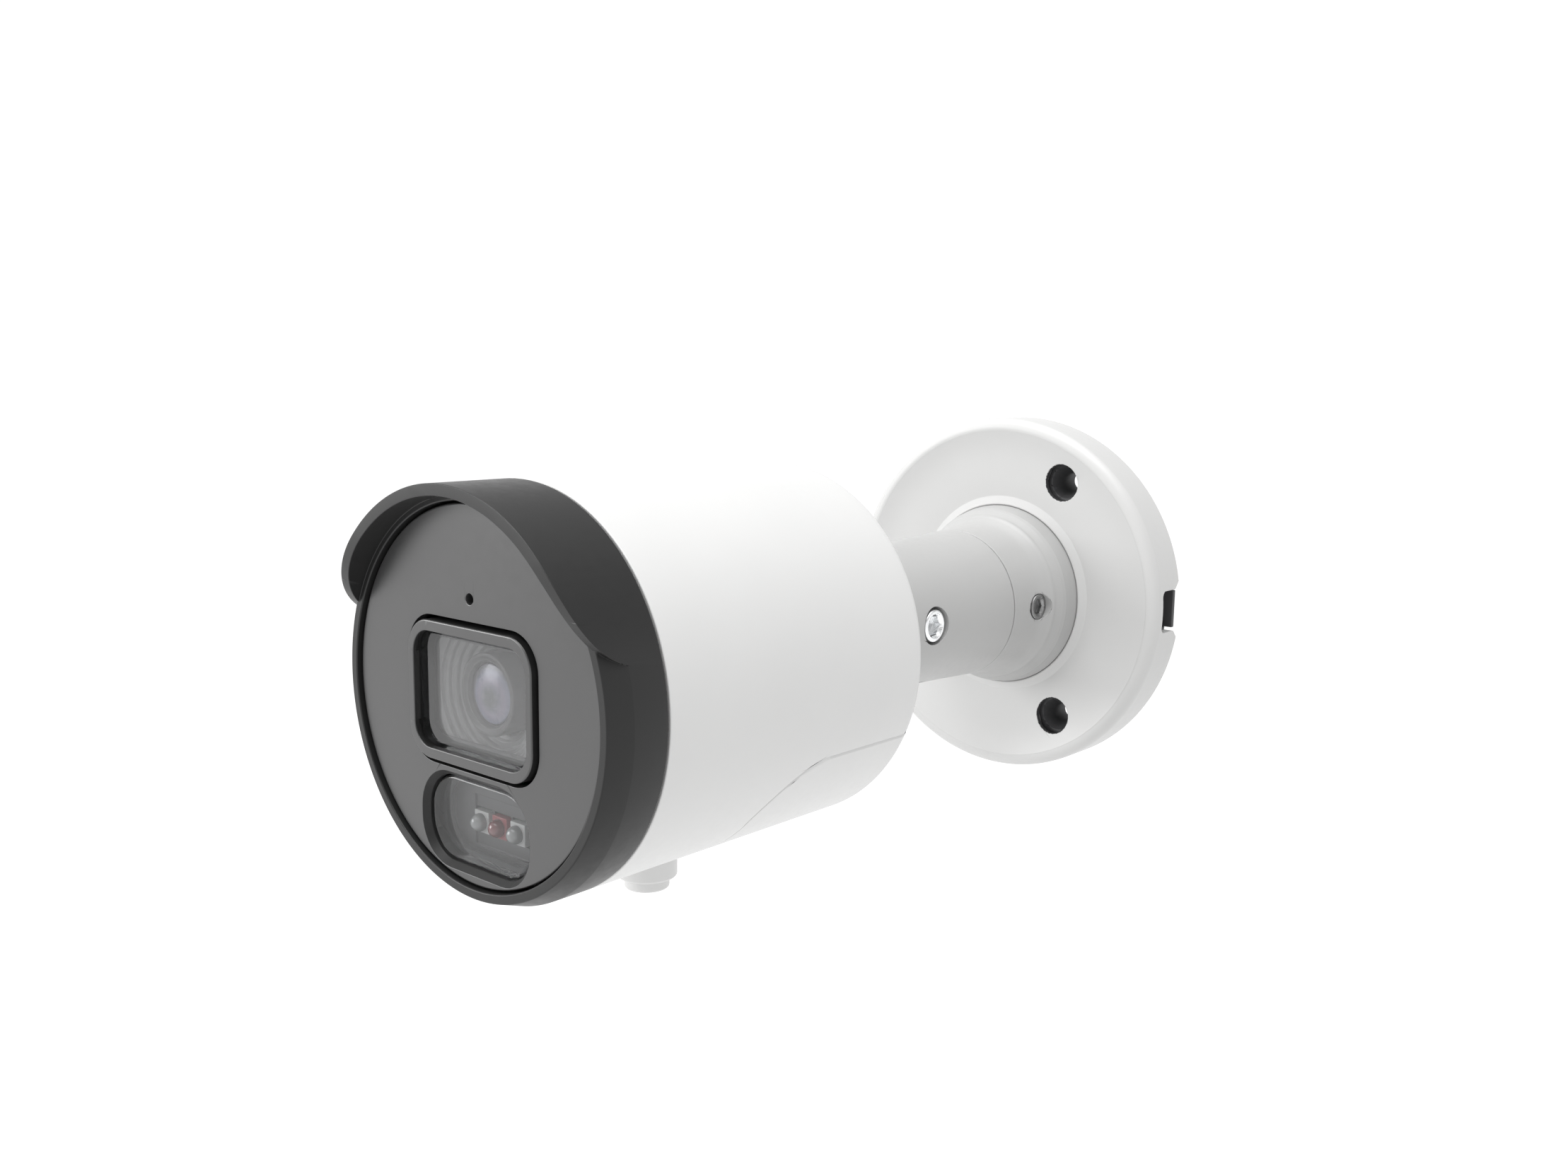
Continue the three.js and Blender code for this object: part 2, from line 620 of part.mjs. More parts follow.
const cardSlot = slotShell.subtract(box([-5.9, 5.9], [-112.5, -98], [-26.0, -24.9]));
const memoryCard = box([-5.5, 5.5], [-112.1, -98.6], [-25.75, -25.1]);
const buttonAcross = [11.2, -106];
const buttonBody = box([8.2, 14.2], [-109, -103], [-27.4, -24.3])
  .subtract(rod('z', 1.8, -30, -25.2, buttonAcross));
const resetButton = rod('z', 1.5, -28.6, -26, buttonAcross, 20);
camera.add(piece('board_chassis', chassis, aluminium));
camera.add(piece('main_board', mainBoard, circuitBoard));
camera.add(piece('processor', processor, chipBlack));
camera.add(piece('heat_sink', heatSink, aluminium));
camera.add(piece('socket_board', ioBoard, circuitBoard));
camera.add(piece('card_slot', cardSlot, steel));
camera.add(piece('memory_card', memoryCard, chipBlack));
camera.add(piece('button_body', buttonBody, blackPlastic));
camera.add(piece('reset_button', resetButton, rubber));

export default camera;
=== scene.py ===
import json
import math

import bmesh
import bpy
from mathutils import Matrix, Vector


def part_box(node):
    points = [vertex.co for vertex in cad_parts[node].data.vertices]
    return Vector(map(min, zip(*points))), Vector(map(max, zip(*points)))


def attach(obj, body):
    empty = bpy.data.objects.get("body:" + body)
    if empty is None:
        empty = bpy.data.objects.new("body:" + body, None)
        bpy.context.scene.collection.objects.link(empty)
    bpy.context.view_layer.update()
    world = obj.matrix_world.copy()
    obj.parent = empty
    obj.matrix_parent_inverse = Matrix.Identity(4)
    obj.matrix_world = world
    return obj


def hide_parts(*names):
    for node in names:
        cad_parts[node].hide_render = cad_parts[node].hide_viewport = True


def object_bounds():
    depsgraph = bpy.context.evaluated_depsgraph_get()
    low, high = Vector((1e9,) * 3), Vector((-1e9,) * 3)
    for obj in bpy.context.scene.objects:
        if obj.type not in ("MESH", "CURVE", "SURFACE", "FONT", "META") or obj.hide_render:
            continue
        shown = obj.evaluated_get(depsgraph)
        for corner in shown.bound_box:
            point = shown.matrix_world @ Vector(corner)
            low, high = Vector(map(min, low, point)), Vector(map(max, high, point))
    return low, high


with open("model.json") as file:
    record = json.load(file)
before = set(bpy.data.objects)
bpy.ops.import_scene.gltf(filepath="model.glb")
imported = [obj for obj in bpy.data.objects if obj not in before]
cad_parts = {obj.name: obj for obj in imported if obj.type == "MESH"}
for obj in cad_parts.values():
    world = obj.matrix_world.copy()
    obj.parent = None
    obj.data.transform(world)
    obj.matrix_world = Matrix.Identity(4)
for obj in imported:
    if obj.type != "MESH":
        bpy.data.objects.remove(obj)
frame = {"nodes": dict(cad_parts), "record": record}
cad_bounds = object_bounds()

MM = 0.001
owner = {}
for body_name, members in frame["record"]["behaviour"]["bodies"].items():
    for member in members:
        owner[member] = body_name


# ---------------------------------------------------------------- places taken from the CAD frame
def low(node, axis):
    """Lowest coordinate of a CAD node along x, y or z, in millimetres."""
    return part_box(node)[0]["xyz".index(axis)] / MM


def high(node, axis):
    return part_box(node)[1]["xyz".index(axis)] / MM


def rear(node):
    """Distance from the wall to the end of a node that is nearer the wall."""
    return -high(node, "y")


def front(node):
    return -low(node, "y")


def middle(node, axis):
    return (low(node, axis) + high(node, axis)) / 2


BODY_RADIUS = high("housing_shell", "x")
BASE_RADIUS = high("base_cover", "x")
HINGE = middle("hinge_bolt", "y")  # y of the tilt axis
ARM_FRONT_RADIUS = -low("swivel_arm", "y") + HINGE
PANEL_RADIUS = high("front_panel", "x")
PANEL_FACE = front("front_panel")
BODY_REAR = rear("housing_shell")
SEAM = front("swivel_collar") + 0.3  # where the arm meets its collar
COLLAR_SCREWS = [(middle(f"collar_screw_{i}", "x"), middle(f"collar_screw_{i}", "z")) for i in (1, 2, 3)]


# ---------------------------------------------------------------- mesh building
def arc(centre, radius, start, end, steps):
    angles = [math.radians(start + (end - start) * i / steps) for i in range(steps + 1)]
    return [(centre[0] + radius * math.cos(a), centre[1] + radius * math.sin(a)) for a in angles]


def rounded(points, closed=True):
    """A 2-D outline from (a, b) or (a, b, fillet) points, with each fillet drawn as an arc."""
    result = []
    count = len(points)
    for i, point in enumerate(points):
        here = Vector(point[:2])
        fillet = point[2] if len(point) > 2 else 0
        if not fillet or (not closed and i in (0, count - 1)):
            result.append(tuple(here))
            continue
        before = (Vector(points[i - 1][:2]) - here).normalized()
        after = (Vector(points[(i + 1) % count][:2]) - here).normalized()
        half = before.angle(after) / 2
        if half > math.radians(89.5):
            result.append(tuple(here))
            continue
        reach = fillet / math.tan(half)
        centre = here + (before + after).normalized() * (fillet / math.sin(half))
        first = here + before * reach - centre
        last = here + after * reach - centre
        turn = first.angle_signed(last)
        steps = max(3, math.ceil(abs(math.degrees(turn)) / 11))
        for k in range(steps + 1):
            result.append(tuple(centre + Matrix.Rotation(-turn * k / steps, 2) @ first))
    return result


def spline(points, steps=6):
    """A smooth open curve through 2-D points."""
    ends = [points[0]] + list(points) + [points[-1]]
    result = []
    for p0, p1, p2, p3 in zip(ends, ends[1:], ends[2:], ends[3:]):
        for k in range(steps):
            t = k / steps
            result.append(tuple(
                0.5 * (2 * b + (c - a) * t + (2 * a - 5 * b + 4 * c - d) * t * t
                       + (3 * b - a - 3 * c + d) * t ** 3)
                for a, b, c, d in zip(p0, p1, p2, p3)))
    result.append(tuple(points[-1]))
    return result


def rings_to_mesh(rings, caps=False, loop=False):
    """Quads between neighbouring rings of points, with the first and last ring capped or joined."""
    bm = bmesh.new()
    made = [[bm.verts.new(p) for p in ring] for ring in rings]
    pairs = list(zip(made, made[1:]))
    if loop:
        pairs.append((made[-1], made[0]))
    for a, b in pairs:
        for i in range(len(a)):
            j = (i + 1) % len(a)
            bm.faces.new((a[i], a[j], b[j], b[i]))
    if caps:
        bm.faces.new(made[0])
        bm.faces.new(made[-1])
    bmesh.ops.remove_doubles(bm, verts=bm.verts, dist=1e-4)
    bmesh.ops.recalc_face_normals(bm, faces=bm.faces)
    return bm


def finer(outline, step):
    """Splits the long lines of a closed outline, so that faces stay short beside a cut."""
    result = []
    for a, b in zip(outline, outline[1:] + outline[:1]):
        parts = max(1, math.ceil(math.dist(a, b) / step))
        across, along = b[0] - a[0], b[1] - a[1]
        result += [(a[0] + across * k / parts, a[1] + along * k / parts) for k in range(parts)]
    return result


def lathe(profile, segments=144, axis="y", centre=(0, 0)):
    """A solid of revolution from a closed outline of (radius, position along the axis) points.
    Along y the position is the distance from the wall."""
    rings = []
    for radius, along in profile:
        ring = []
        for k in range(segments):
            a = 2 * math.pi * k / segments
            u, v = radius * math.cos(a), radius * math.sin(a)
            if axis == "y":
                ring.append((centre[0] + u, -along, centre[1] + v))
            elif axis == "x":
                ring.append((along, centre[0] + u, centre[1] + v))
            else:
                ring.append((centre[0] + u, centre[1] + v, along))
        rings.append(ring)
    return rings_to_mesh(rings, loop=True)


def rod(axis, radius, start, end, centre=(0, 0), segments=64, edge=0.0):
    """A round rod. Along y, start and end are distances from the wall."""
    lower, upper = min(start, end), max(start, end)
    outline = [(0, lower), (radius, lower, edge), (radius, upper, edge), (0, upper)]
    return lathe(rounded(outline, closed=False), segments, axis, centre)


def tube(inner, outer, start, end, segments=144, edge=0.0, axis="y", centre=(0, 0)):
    outline = [(inner, start, edge), (outer, start, edge), (outer, end, edge), (inner, end, edge)]
    return lathe(rounded(outline), segments, axis, centre)


def block(x, y, z):
    bm = bmesh.new()
    bmesh.ops.create_cube(bm, size=1)
    for vert in bm.verts:
        vert.co = [(s[0] + s[1]) / 2 + c * (s[1] - s[0]) for c, s in zip(vert.co, (x, y, z))]
    return bm


def hexagon(axis, across_flats, start, end, centre=(0, 0)):
    return rod(axis, across_flats / math.sqrt(3), start, end, centre, segments=6)


def rectangle_ring(half_width, half_height, corner, station, z, steps=10):
    """A rounded rectangle in a plane across the main axis."""
    corner = min(max(corner, 0.05), half_width, half_height)
    ring = []
    for cx, cz, start in ((1, 1, 0), (-1, 1, 90), (-1, -1, 180), (1, -1, 270)):
        centre = (cx * (half_width - corner), z + cz * (half_height - corner))
        ring += [(x, -station, h) for x, h in arc(centre, corner, start, start + 90, steps)]
    return ring


def rectangle_loft(outline, z, closed=True, steps=10):
    """Rounded rectangles of (half width, half height, corner, station) joined in order."""
    rings = [rectangle_ring(*item, z, steps) for item in outline]
    return rings_to_mesh(rings, loop=closed, caps=not closed)


def prism(outline, lift, depth):
    """A 2-D outline lifted into space by lift(a, b) and carried along the vector depth."""
    start = [Vector(lift(*p)) for p in outline]
    return rings_to_mesh([start, [p + Vector(depth) for p in start]], caps=True)


# ---------------------------------------------------------------- objects
def to_object(name, bm):
    mesh = bpy.data.meshes.new(name)
    bm.to_mesh(mesh)
    bm.free()
    obj = bpy.data.objects.new(name, mesh)
    bpy.context.scene.collection.objects.link(obj)
    return obj


def apply_modifiers(obj):
    depsgraph = bpy.context.evaluated_depsgraph_get()
    mesh = bpy.data.meshes.new_from_object(obj.evaluated_get(depsgraph))
    obj.modifiers.clear()
    old = obj.data
    obj.data = mesh
    bpy.data.meshes.remove(old)


def combine(obj, tools, operation="DIFFERENCE"):
    """Cuts, joins or intersects an object with solids and discards them."""
    for tool in tools:
        other = to_object("tool", tool)
        step = obj.modifiers.new("step", "BOOLEAN")
        step.object = other
        step.operation = operation
        step.solver = "EXACT"
        apply_modifiers(obj)
        bpy.data.objects.remove(other)
    return obj


def solid(bm, cuts=(), joins=(), keep=()):
    """An object from a mesh: first its overlap with keep, then joins added, then cuts taken away."""
    obj = to_object("solid", bm)
    combine(obj, keep, "INTERSECT")
    combine(obj, joins, "UNION")
    combine(obj, cuts)
    return obj


def as_tool(obj):
    bm = bmesh.new()
    bm.from_mesh(obj.data)
    bpy.data.objects.remove(obj)
    return bm


def soften(obj, width, segments=3, angle=32):
    """Rounds every edge sharper than an angle, by a width in millimetres."""
    if width:
        bevel = obj.modifiers.new("edge", "BEVEL")
        bevel.width = width
        bevel.segments = segments
        bevel.limit_method = "ANGLE"
        bevel.angle_limit = math.radians(angle)
        bevel.use_clamp_overlap = False
        bevel.miter_outer = "MITER_ARC"
        apply_modifiers(obj)


def place(name, obj, nodes, material, width=0.0, segments=3, angle=32):
    """Finishes a piece: rounds its edges, scales it to metres, and ties it to its CAD nodes.
    A face's material index picks from a list of materials."""
    nodes = [nodes] if isinstance(nodes, str) else list(nodes)
    if isinstance(obj, bmesh.types.BMesh):
        obj = to_object(name, obj)
    obj.name = name
    soften(obj, width, segments, angle)
    obj.data.name = name
    obj.data.shade_smooth()
    for face in obj.data.polygons:  # large faces square to an axis stay flat
        if face.area > 3 and max(abs(c) for c in face.normal) > 0.99999:
            face.use_smooth = False
    obj.data.transform(Matrix.Scale(MM, 4))
    normals = obj.modifiers.new("normals", "WEIGHTED_NORMAL")
    normals.mode = "FACE_AREA_WITH_ANGLE"
    normals.weight = 60
    normals.keep_sharp = True
    finishes = material if isinstance(material, (list, tuple)) else [material]
    indices = [min(face.material_index, len(finishes) - 1) for face in obj.data.polygons]
    obj.data.materials.clear()
    for item in finishes:
        obj.data.materials.append(item)
    obj.data.polygons.foreach_set("material_index", indices)
    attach(obj, owner[nodes[0]])
    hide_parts(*nodes)
    return obj


def polish(node, material):
    """Keeps a CAD node and gives it a procedural finish and softened edges."""
    obj = frame["nodes"][node]
    for index in range(max(1, len(obj.material_slots))):
        if not obj.material_slots:
            obj.data.materials.append(material)
        obj.material_slots[index].link = "OBJECT"
        obj.material_slots[index].material = material
    bevel = obj.modifiers.new("edge", "BEVEL")
    bevel.width = 0.15 * MM
    bevel.segments = 2
    bevel.limit_method = "ANGLE"
    bevel.angle_limit = math.radians(35)
    normals = obj.modifiers.new("normals", "WEIGHTED_NORMAL")
    normals.keep_sharp = True


# ---------------------------------------------------------------- materials
def new_material(name):
    material = bpy.data.materials.new(name)
    material.use_nodes = True
    tree = material.node_tree
    shader = tree.nodes["Principled BSDF"]
    return material, tree, shader


def noise(tree, scale, detail=3.0, roughness=0.55, stretch=(1, 1, 1)):
    """Noise in the piece's own coordinates, with scale in features per metre."""
    coords = tree.nodes.new("ShaderNodeTexCoord")
    mapping = tree.nodes.new("ShaderNodeMapping")
    mapping.inputs["Scale"].default_value = stretch
    texture = tree.nodes.new("ShaderNodeTexNoise")
    texture.inputs["Scale"].default_value = scale
    texture.inputs["Detail"].default_value = detail
    texture.inputs["Roughness"].default_value = roughness
    tree.links.new(coords.outputs["Object"], mapping.inputs["Vector"])
    tree.links.new(mapping.outputs["Vector"], texture.inputs["Vector"])
    return texture.outputs["Fac"]


def ramp(tree, source, stops):
    node = tree.nodes.new("ShaderNodeValToRGB")
    elements = node.color_ramp.elements
    while len(elements) < len(stops):
        elements.new(0.5)
    for element, (position, colour) in zip(elements, stops):
        element.position = position
        element.color = (*colour, 1) if isinstance(colour, (tuple, list)) else (colour, colour, colour, 1)
    tree.links.new(source, node.inputs["Fac"])
    return node.outputs["Color"]


def grain(tree, shader, source, strength, distance):
    bump = tree.nodes.new("ShaderNodeBump")
    bump.inputs["Strength"].default_value = strength
    bump.inputs["Distance"].default_value = distance
    tree.links.new(source, bump.inputs["Height"])
    tree.links.new(bump.outputs["Normal"], shader.inputs["Normal"])


def tinted(colour, factor):
    return tuple(min(1.0, c * factor) for c in colour)


def set_from(tree, shader, name, source, stops):
    """Drives one of the shader's sockets from a texture through a colour ramp."""
    tree.links.new(ramp(tree, source, stops), shader.inputs[name])


def moulded(name, colour, roughness, spread=0.05, pitch=1500, strength=0.12, variation=0.04,
            specular=0.5):
    """Paint or moulded plastic: fine surface texture, slight gloss and colour variation."""
    material, tree, shader = new_material(name)
    fine = noise(tree, pitch, 4.0)
    broad = noise(tree, 60, 2.0)
    patches = noise(tree, pitch / 4, 3.0)
    set_from(tree, shader, "Base Color", broad,
             [(0.3, tinted(colour, 1 - variation)), (0.7, tinted(colour, 1 + variation))])
    set_from(tree, shader, "Roughness", patches, [(0.3, roughness - spread), (0.7, roughness + spread)])
    shader.inputs["Specular IOR Level"].default_value = specular
    grain(tree, shader, fine, strength, 0.00003)
    return material


def metal(name, colour, roughness, stretch=(1, 1, 1), pitch=900, strength=0.08):
    material, tree, shader = new_material(name)
    shader.inputs["Metallic"].default_value = 1.0
    lines = noise(tree, pitch, 5.0, 0.6, stretch)
    set_from(tree, shader, "Base Color", lines, [(0.25, tinted(colour, 0.86)), (0.75, tinted(colour, 1.06))])
    set_from(tree, shader, "Roughness", lines, [(0.3, roughness * 0.8), (0.7, roughness * 1.25)])
    grain(tree, shader, lines, strength, 0.00002)
    return material


def window_glass(name, mirror):
    """Thin flat glass: mostly clear, with a mirror share that grows at a grazing angle."""
    material, tree, shader = new_material(name)
    shader.inputs["Base Color"].default_value = (0.8, 0.8, 0.8, 1)
    shader.inputs["Metallic"].default_value = 1.0
    set_from(tree, shader, "Roughness", noise(tree, 90, 2.0), [(0.3, 0.03), (0.8, 0.07)])
    clear = tree.nodes.new("ShaderNodeBsdfTransparent")
    clear.inputs["Color"].default_value = (0.93, 0.935, 0.94, 1)
    facing = tree.nodes.new("ShaderNodeLayerWeight")
    facing.inputs["Blend"].default_value = 0.5
    steep = tree.nodes.new("ShaderNodeMath")
    steep.operation = "POWER"
    steep.inputs[1].default_value = 4.0
    amount = tree.nodes.new("ShaderNodeMath")
    amount.operation = "ADD"
    amount.use_clamp = True
    amount.inputs[1].default_value = mirror
    mix = tree.nodes.new("ShaderNodeMixShader")
    tree.links.new(facing.outputs["Facing"], steep.inputs[0])
    tree.links.new(steep.outputs[0], amount.inputs[0])
    tree.links.new(amount.outputs[0], mix.inputs["Fac"])
    tree.links.new(clear.outputs[0], mix.inputs[1])
    tree.links.new(shader.outputs[0], mix.inputs[2])
    tree.links.new(mix.outputs[0], tree.nodes["Material Output"].inputs["Surface"])
    return material


def radial(tree, centre, radius):
    """Distance from a line along y through centre, as a share of radius."""
    coords = tree.nodes.new("ShaderNodeTexCoord")
    offset = tree.nodes.new("ShaderNodeVectorMath")
    offset.operation = "SUBTRACT"
    offset.inputs[1].default_value = (centre[0] * MM, 0, centre[1] * MM)
    flat = tree.nodes.new("ShaderNodeVectorMath")
    flat.operation = "MULTIPLY"
    flat.inputs[1].default_value = (1 / (radius * MM), 0, 1 / (radius * MM))
    length = tree.nodes.new("ShaderNodeVectorMath")
    length.operation = "LENGTH"
    tree.links.new(coords.outputs["Object"], offset.inputs[0])
    tree.links.new(offset.outputs[0], flat.inputs[0])
    tree.links.new(flat.outputs[0], length.inputs[0])
    return length.outputs["Value"]


def lens_with_painted_reflection(name):
    """The front lens: violet and blue coating shown as a painted reflection ring round a darker pupil of
    painted shade, darker again at the rim.
    """
    material, tree, shader = new_material(name)
    painted_pupil_centre = (0.6, -0.5)
    share = radial(tree, painted_pupil_centre, high("front_lens", "x"))
    set_from(tree, shader, "Base Color", share, [
        (0.0, (0.03, 0.035, 0.035)), (0.24, (0.05, 0.055, 0.055)), (0.42, (0.11, 0.108, 0.13)),
        (0.62, (0.17, 0.15, 0.19)), (0.85, (0.14, 0.148, 0.19)), (1.0, (0.07, 0.07, 0.08)),
    ])
    set_from(tree, shader, "Roughness", noise(tree, 200), [(0.3, 0.22), (0.7, 0.3)])
    shader.inputs["Coat Weight"].default_value = 0.22
    shader.inputs["Coat Roughness"].default_value = 0.2
    shader.inputs["Coat Tint"].default_value = (0.8, 0.75, 1.0, 1)
    return material


def board_green(name):
    """Circuit board: solder mask over faint copper tracks."""
    material, tree, shader = new_material(name)
    coords = tree.nodes.new("ShaderNodeTexCoord")
    tracks = tree.nodes.new("ShaderNodeTexBrick")
    tracks.inputs["Scale"].default_value = 260
    tracks.inputs["Color1"].default_value = (0.02, 0.11, 0.06, 1)
    tracks.inputs["Color2"].default_value = (0.03, 0.14, 0.08, 1)
    tracks.inputs["Mortar"].default_value = (0.06, 0.24, 0.13, 1)
    tracks.inputs["Mortar Size"].default_value = 0.03
    tree.links.new(coords.outputs["Object"], tracks.inputs["Vector"])
    tree.links.new(tracks.outputs["Color"], shader.inputs["Base Color"])
    set_from(tree, shader, "Roughness", noise(tree, 500), [(0.3, 0.28), (0.7, 0.4)])
    grain(tree, shader, tracks.outputs["Fac"], 0.2, 0.00003)
    return material


def resin(name, colour):
    """Emitter domes, the rear lens and the filter: cloudy inside, with a clear skin."""
    material, tree, shader = new_material(name)
    cloud = noise(tree, 700, 3.0)
    set_from(tree, shader, "Base Color", cloud, [(0.3, tinted(colour, 0.8)), (0.7, tinted(colour, 1.1))])
    set_from(tree, shader, "Roughness", cloud, [(0.3, 0.12), (0.7, 0.2)])
    shader.inputs["Coat Weight"].default_value = 0.8
    shader.inputs["Coat Roughness"].default_value = 0.05
    return material


white_paint = moulded("white_paint", (0.585, 0.585, 0.581), 0.4, 0.04, 2600, 0.05, 0.008)
# darker copies of the white paint carry painted shade: the base and tail a little darker, the arm and its
# collar darker still
bracket_paint_painted_shade = moulded("bracket_paint_painted_shade", (0.51, 0.51, 0.506), 0.42, 0.04, 2600, 0.05, 0.008)
arm_paint_painted_shade = moulded("arm_paint_painted_shade", (0.38, 0.38, 0.377), 0.42, 0.04, 2600, 0.05, 0.008)
# a duller, darker copy of the dark plastics: painted shade on the bezel's cone and on the light window's
# opening walls
painted_shade_plastic = moulded("painted_shade_plastic", (0.016, 0.016, 0.016), 0.45, 0.03, 2200, 0.03, 0.02, 0.3)
bezel_plastic = moulded("bezel_plastic", (0.014, 0.014, 0.014), 0.38, 0.03, 2600, 0.08, 0.03, 0.36)
panel_plastic = moulded("panel_plastic", (0.03, 0.03, 0.0304), 0.33, 0.02, 2200, 0.03, 0.02, 0.9)
mask_plastic = moulded("mask_plastic", (0.055, 0.055, 0.055), 0.45, 0.03, 1800, 0.06, 0.04)
black_plastic = moulded("black_plastic", (0.012, 0.012, 0.012), 0.5, 0.06, 1800, 0.15, 0.08)
shroud_plastic = moulded("shroud_plastic", (0.13, 0.13, 0.13), 0.35, 0.05, 1500, 0.06, 0.03)
core_plastic = moulded("core_plastic", (0.05, 0.05, 0.052), 0.55, 0.06, 1500, 0.2, 0.06)
seal_rubber = moulded("seal_rubber", (0.015, 0.015, 0.016), 0.75, 0.08, 1800, 0.35, 0.15, 0.3)
chip_plastic = moulded("chip_plastic", (0.02, 0.02, 0.022), 0.5, 0.05, 2500, 0.2, 0.08)
ceramic_white = moulded("ceramic_white", (0.42, 0.42, 0.41), 0.4, 0.05, 2000, 0.05, 0.03)
pad_red = moulded("pad_red", (0.26, 0.045, 0.05), 0.4, 0.05, 2000, 0.05, 0.05)
bright_steel = metal("bright_steel", (0.92, 0.93, 0.94), 0.22, strength=0.05)
dark_steel = metal("dark_steel", (0.3, 0.3, 0.3), 0.38, strength=0.15)
plain_steel = metal("plain_steel", (0.55, 0.55, 0.54), 0.32, strength=0.15)
turned_aluminium = metal("turned_aluminium", (0.72, 0.73, 0.74), 0.34, (1, 9, 1), 500, 0.2)
circuit_board = board_green("circuit_board")
lens_glass = window_glass("lens_window_glass", 0.08)
light_glass = window_glass("light_window_glass", 0.035)
front_lens_material_painted_reflection = lens_with_painted_reflection("front_lens_with_painted_reflection")
rear_coating = resin("rear_lens_glass", (0.1, 0.13, 0.16))
filter_red = resin("filter_glass", (0.3, 0.06, 0.1))
clear_resin = resin("clear_resin", (0.24, 0.245, 0.24))
red_resin = resin("red_resin", (0.14, 0.02, 0.022))


# ---------------------------------------------------------------- wall base
RIM = front("base_cover")
DISH = RIM - 2.8  # lowest ring of the dished front face
COLLAR_HOLE = high("swivel_collar", "x") - 4.3
HOLE_CIRCLE = 32.0
HOLE_RADIUS = 4.3
HOLES = [(HOLE_CIRCLE * math.cos(math.radians(a)), HOLE_CIRCLE * math.sin(math.radians(a)))
         for a in (60, 180, 300)]


CROSS_ARMS = ((1.5, 0.3), (0.3, 1.5))  # half sizes of the two arms of a cross recess


def notch_tool():
    """The cable notch through the rim: rounded inner corners and flared lips at the wall."""
    outline = rounded([
        (1, 6.6), (-0.02, 6.4, 0.6), (-1.9, 4.75, 0.8), (-8, 4.75, 1.5),
        (-8, -4.75, 1.5), (-1.9, -4.75, 0.8), (-0.02, -6.4, 0.6), (1, -6.6),
    ])
    return prism(outline, lambda y, z: (BASE_RADIUS - 6, y, z), (9, 0, 0))


def make_base():
    skin = 2.5
    outline = rounded([
        (COLLAR_HOLE - 0.26, DISH - skin + 0.6, 0.2),
        (BASE_RADIUS - skin, RIM - skin, 1.0),
        (BASE_RADIUS - skin, 0),
        (BASE_RADIUS, 0),
        (BASE_RADIUS, RIM, 2.3),
        (COLLAR_HOLE + 14.5, DISH + 0.9, 30),
        (COLLAR_HOLE + 1.9, DISH, 0.5),
        (COLLAR_HOLE - 0.26, DISH + 1.1, 0.35),
    ])
    cuts = [rod("y", HOLE_RADIUS, 0, 20, centre, 72) for centre in HOLES] + [notch_tool()]
    disc = solid(lathe(finer(outline, 3), 192), cuts)
    for wall in disc.data.polygons:
        x, y, z = wall.center
        beside_hole = any(math.dist((x, z), centre) < HOLE_RADIUS + 0.1 for centre in HOLES)
        if abs(wall.normal.y) < 0.2 and beside_hole:
            wall.material_index = 1
    place("base_disc", disc, "base_cover", [bracket_paint_painted_shade, core_plastic], 0.2)

    core_outer = high("base_core", "x")
    plate = rounded([
        (8.5, 0, 0.3), (core_outer, 0, 0.3), (core_outer, 8.6, 0.3), (core_outer - 1.9, 8.6, 0.3),
        (core_outer - 1.9, 3.5, 0.5), (8.5, 3.5, 0.3),
    ])
    bosses = [rod("y", 5.4, 2, 7.6, centre, 48) for centre in HOLES]
    # the lip across the cable's way out at the wall, seen through the notch
    lip = block((core_outer - 3, BASE_RADIUS - 1.2), (-1.1, -0.01), (-4.3, 4.3))
    cable_way = block((12, 44), (-7.2, 1), (-4.4, 4.4))
    countersink = [(0, -1), (2.1, -1), (2.1, 4.6), (3.9, 7.7), (0, 7.7)]
    cuts = [cable_way]
    cuts += [rod("y", 1.9, -1, 5, centre, 32) for centre in COLLAR_SCREWS]
    cuts += [rod("y", 3.1, -1, 2.3, centre, 32) for centre in COLLAR_SCREWS]
    cuts += [lathe(countersink, 48, "y", centre) for centre in HOLES]
    # shallow moulded pockets on the wall side
    for angle in (105, 225, 345):
        sector = [(0, 0)] + arc((0, 0), 60, angle - 9, angle + 9, 4)
        wedge = prism(sector, lambda x, z: (x, 2, z), (0, -4, 0))
        cuts.append(as_tool(solid(tube(14, 35, -1, 1.2, 96), keep=[wedge])))
    backing = combine(solid(lathe(plate, 144), cuts, bosses), [lip], "UNION")
    place("base_backing", backing, "base_core", core_plastic, 0.2, 2)

    grommet = rounded([
        (4, 0.4, 0.5), (6.6, 0.4, 0.4), (8.2, 0.4, 0.3), (8.2, 3.8), (10.2, 3.8, 0.4), (10.2, 5.2, 0.4),
        (4, 5.2, 0.5),
    ])
    place("cable_bush", lathe(grommet, 96), "cable_grommet", seal_rubber)
    profile = rounded([
        (0, 0.45), (2.8, 0.45, 0.35), (2.8, 2, 0.2), (1.6, 2), (1.6, 6, 0.4), (0, 6),
    ], closed=False)
    for i, (x, z) in enumerate(COLLAR_SCREWS, 1):
        cross = [block((x - a, x + a), (-1.4, 1), (z - b, z + b)) for a, b in CROSS_ARMS]
        screw = solid(lathe(profile, 48, "y", (x, z)), cross)
        place(f"flange_screw_{i}", screw, f"collar_screw_{i}", plain_steel, 0.06, 2)


# ---------------------------------------------------------------- collar and arm
ARM_REAR_RADIUS = high("swivel_arm", "x")


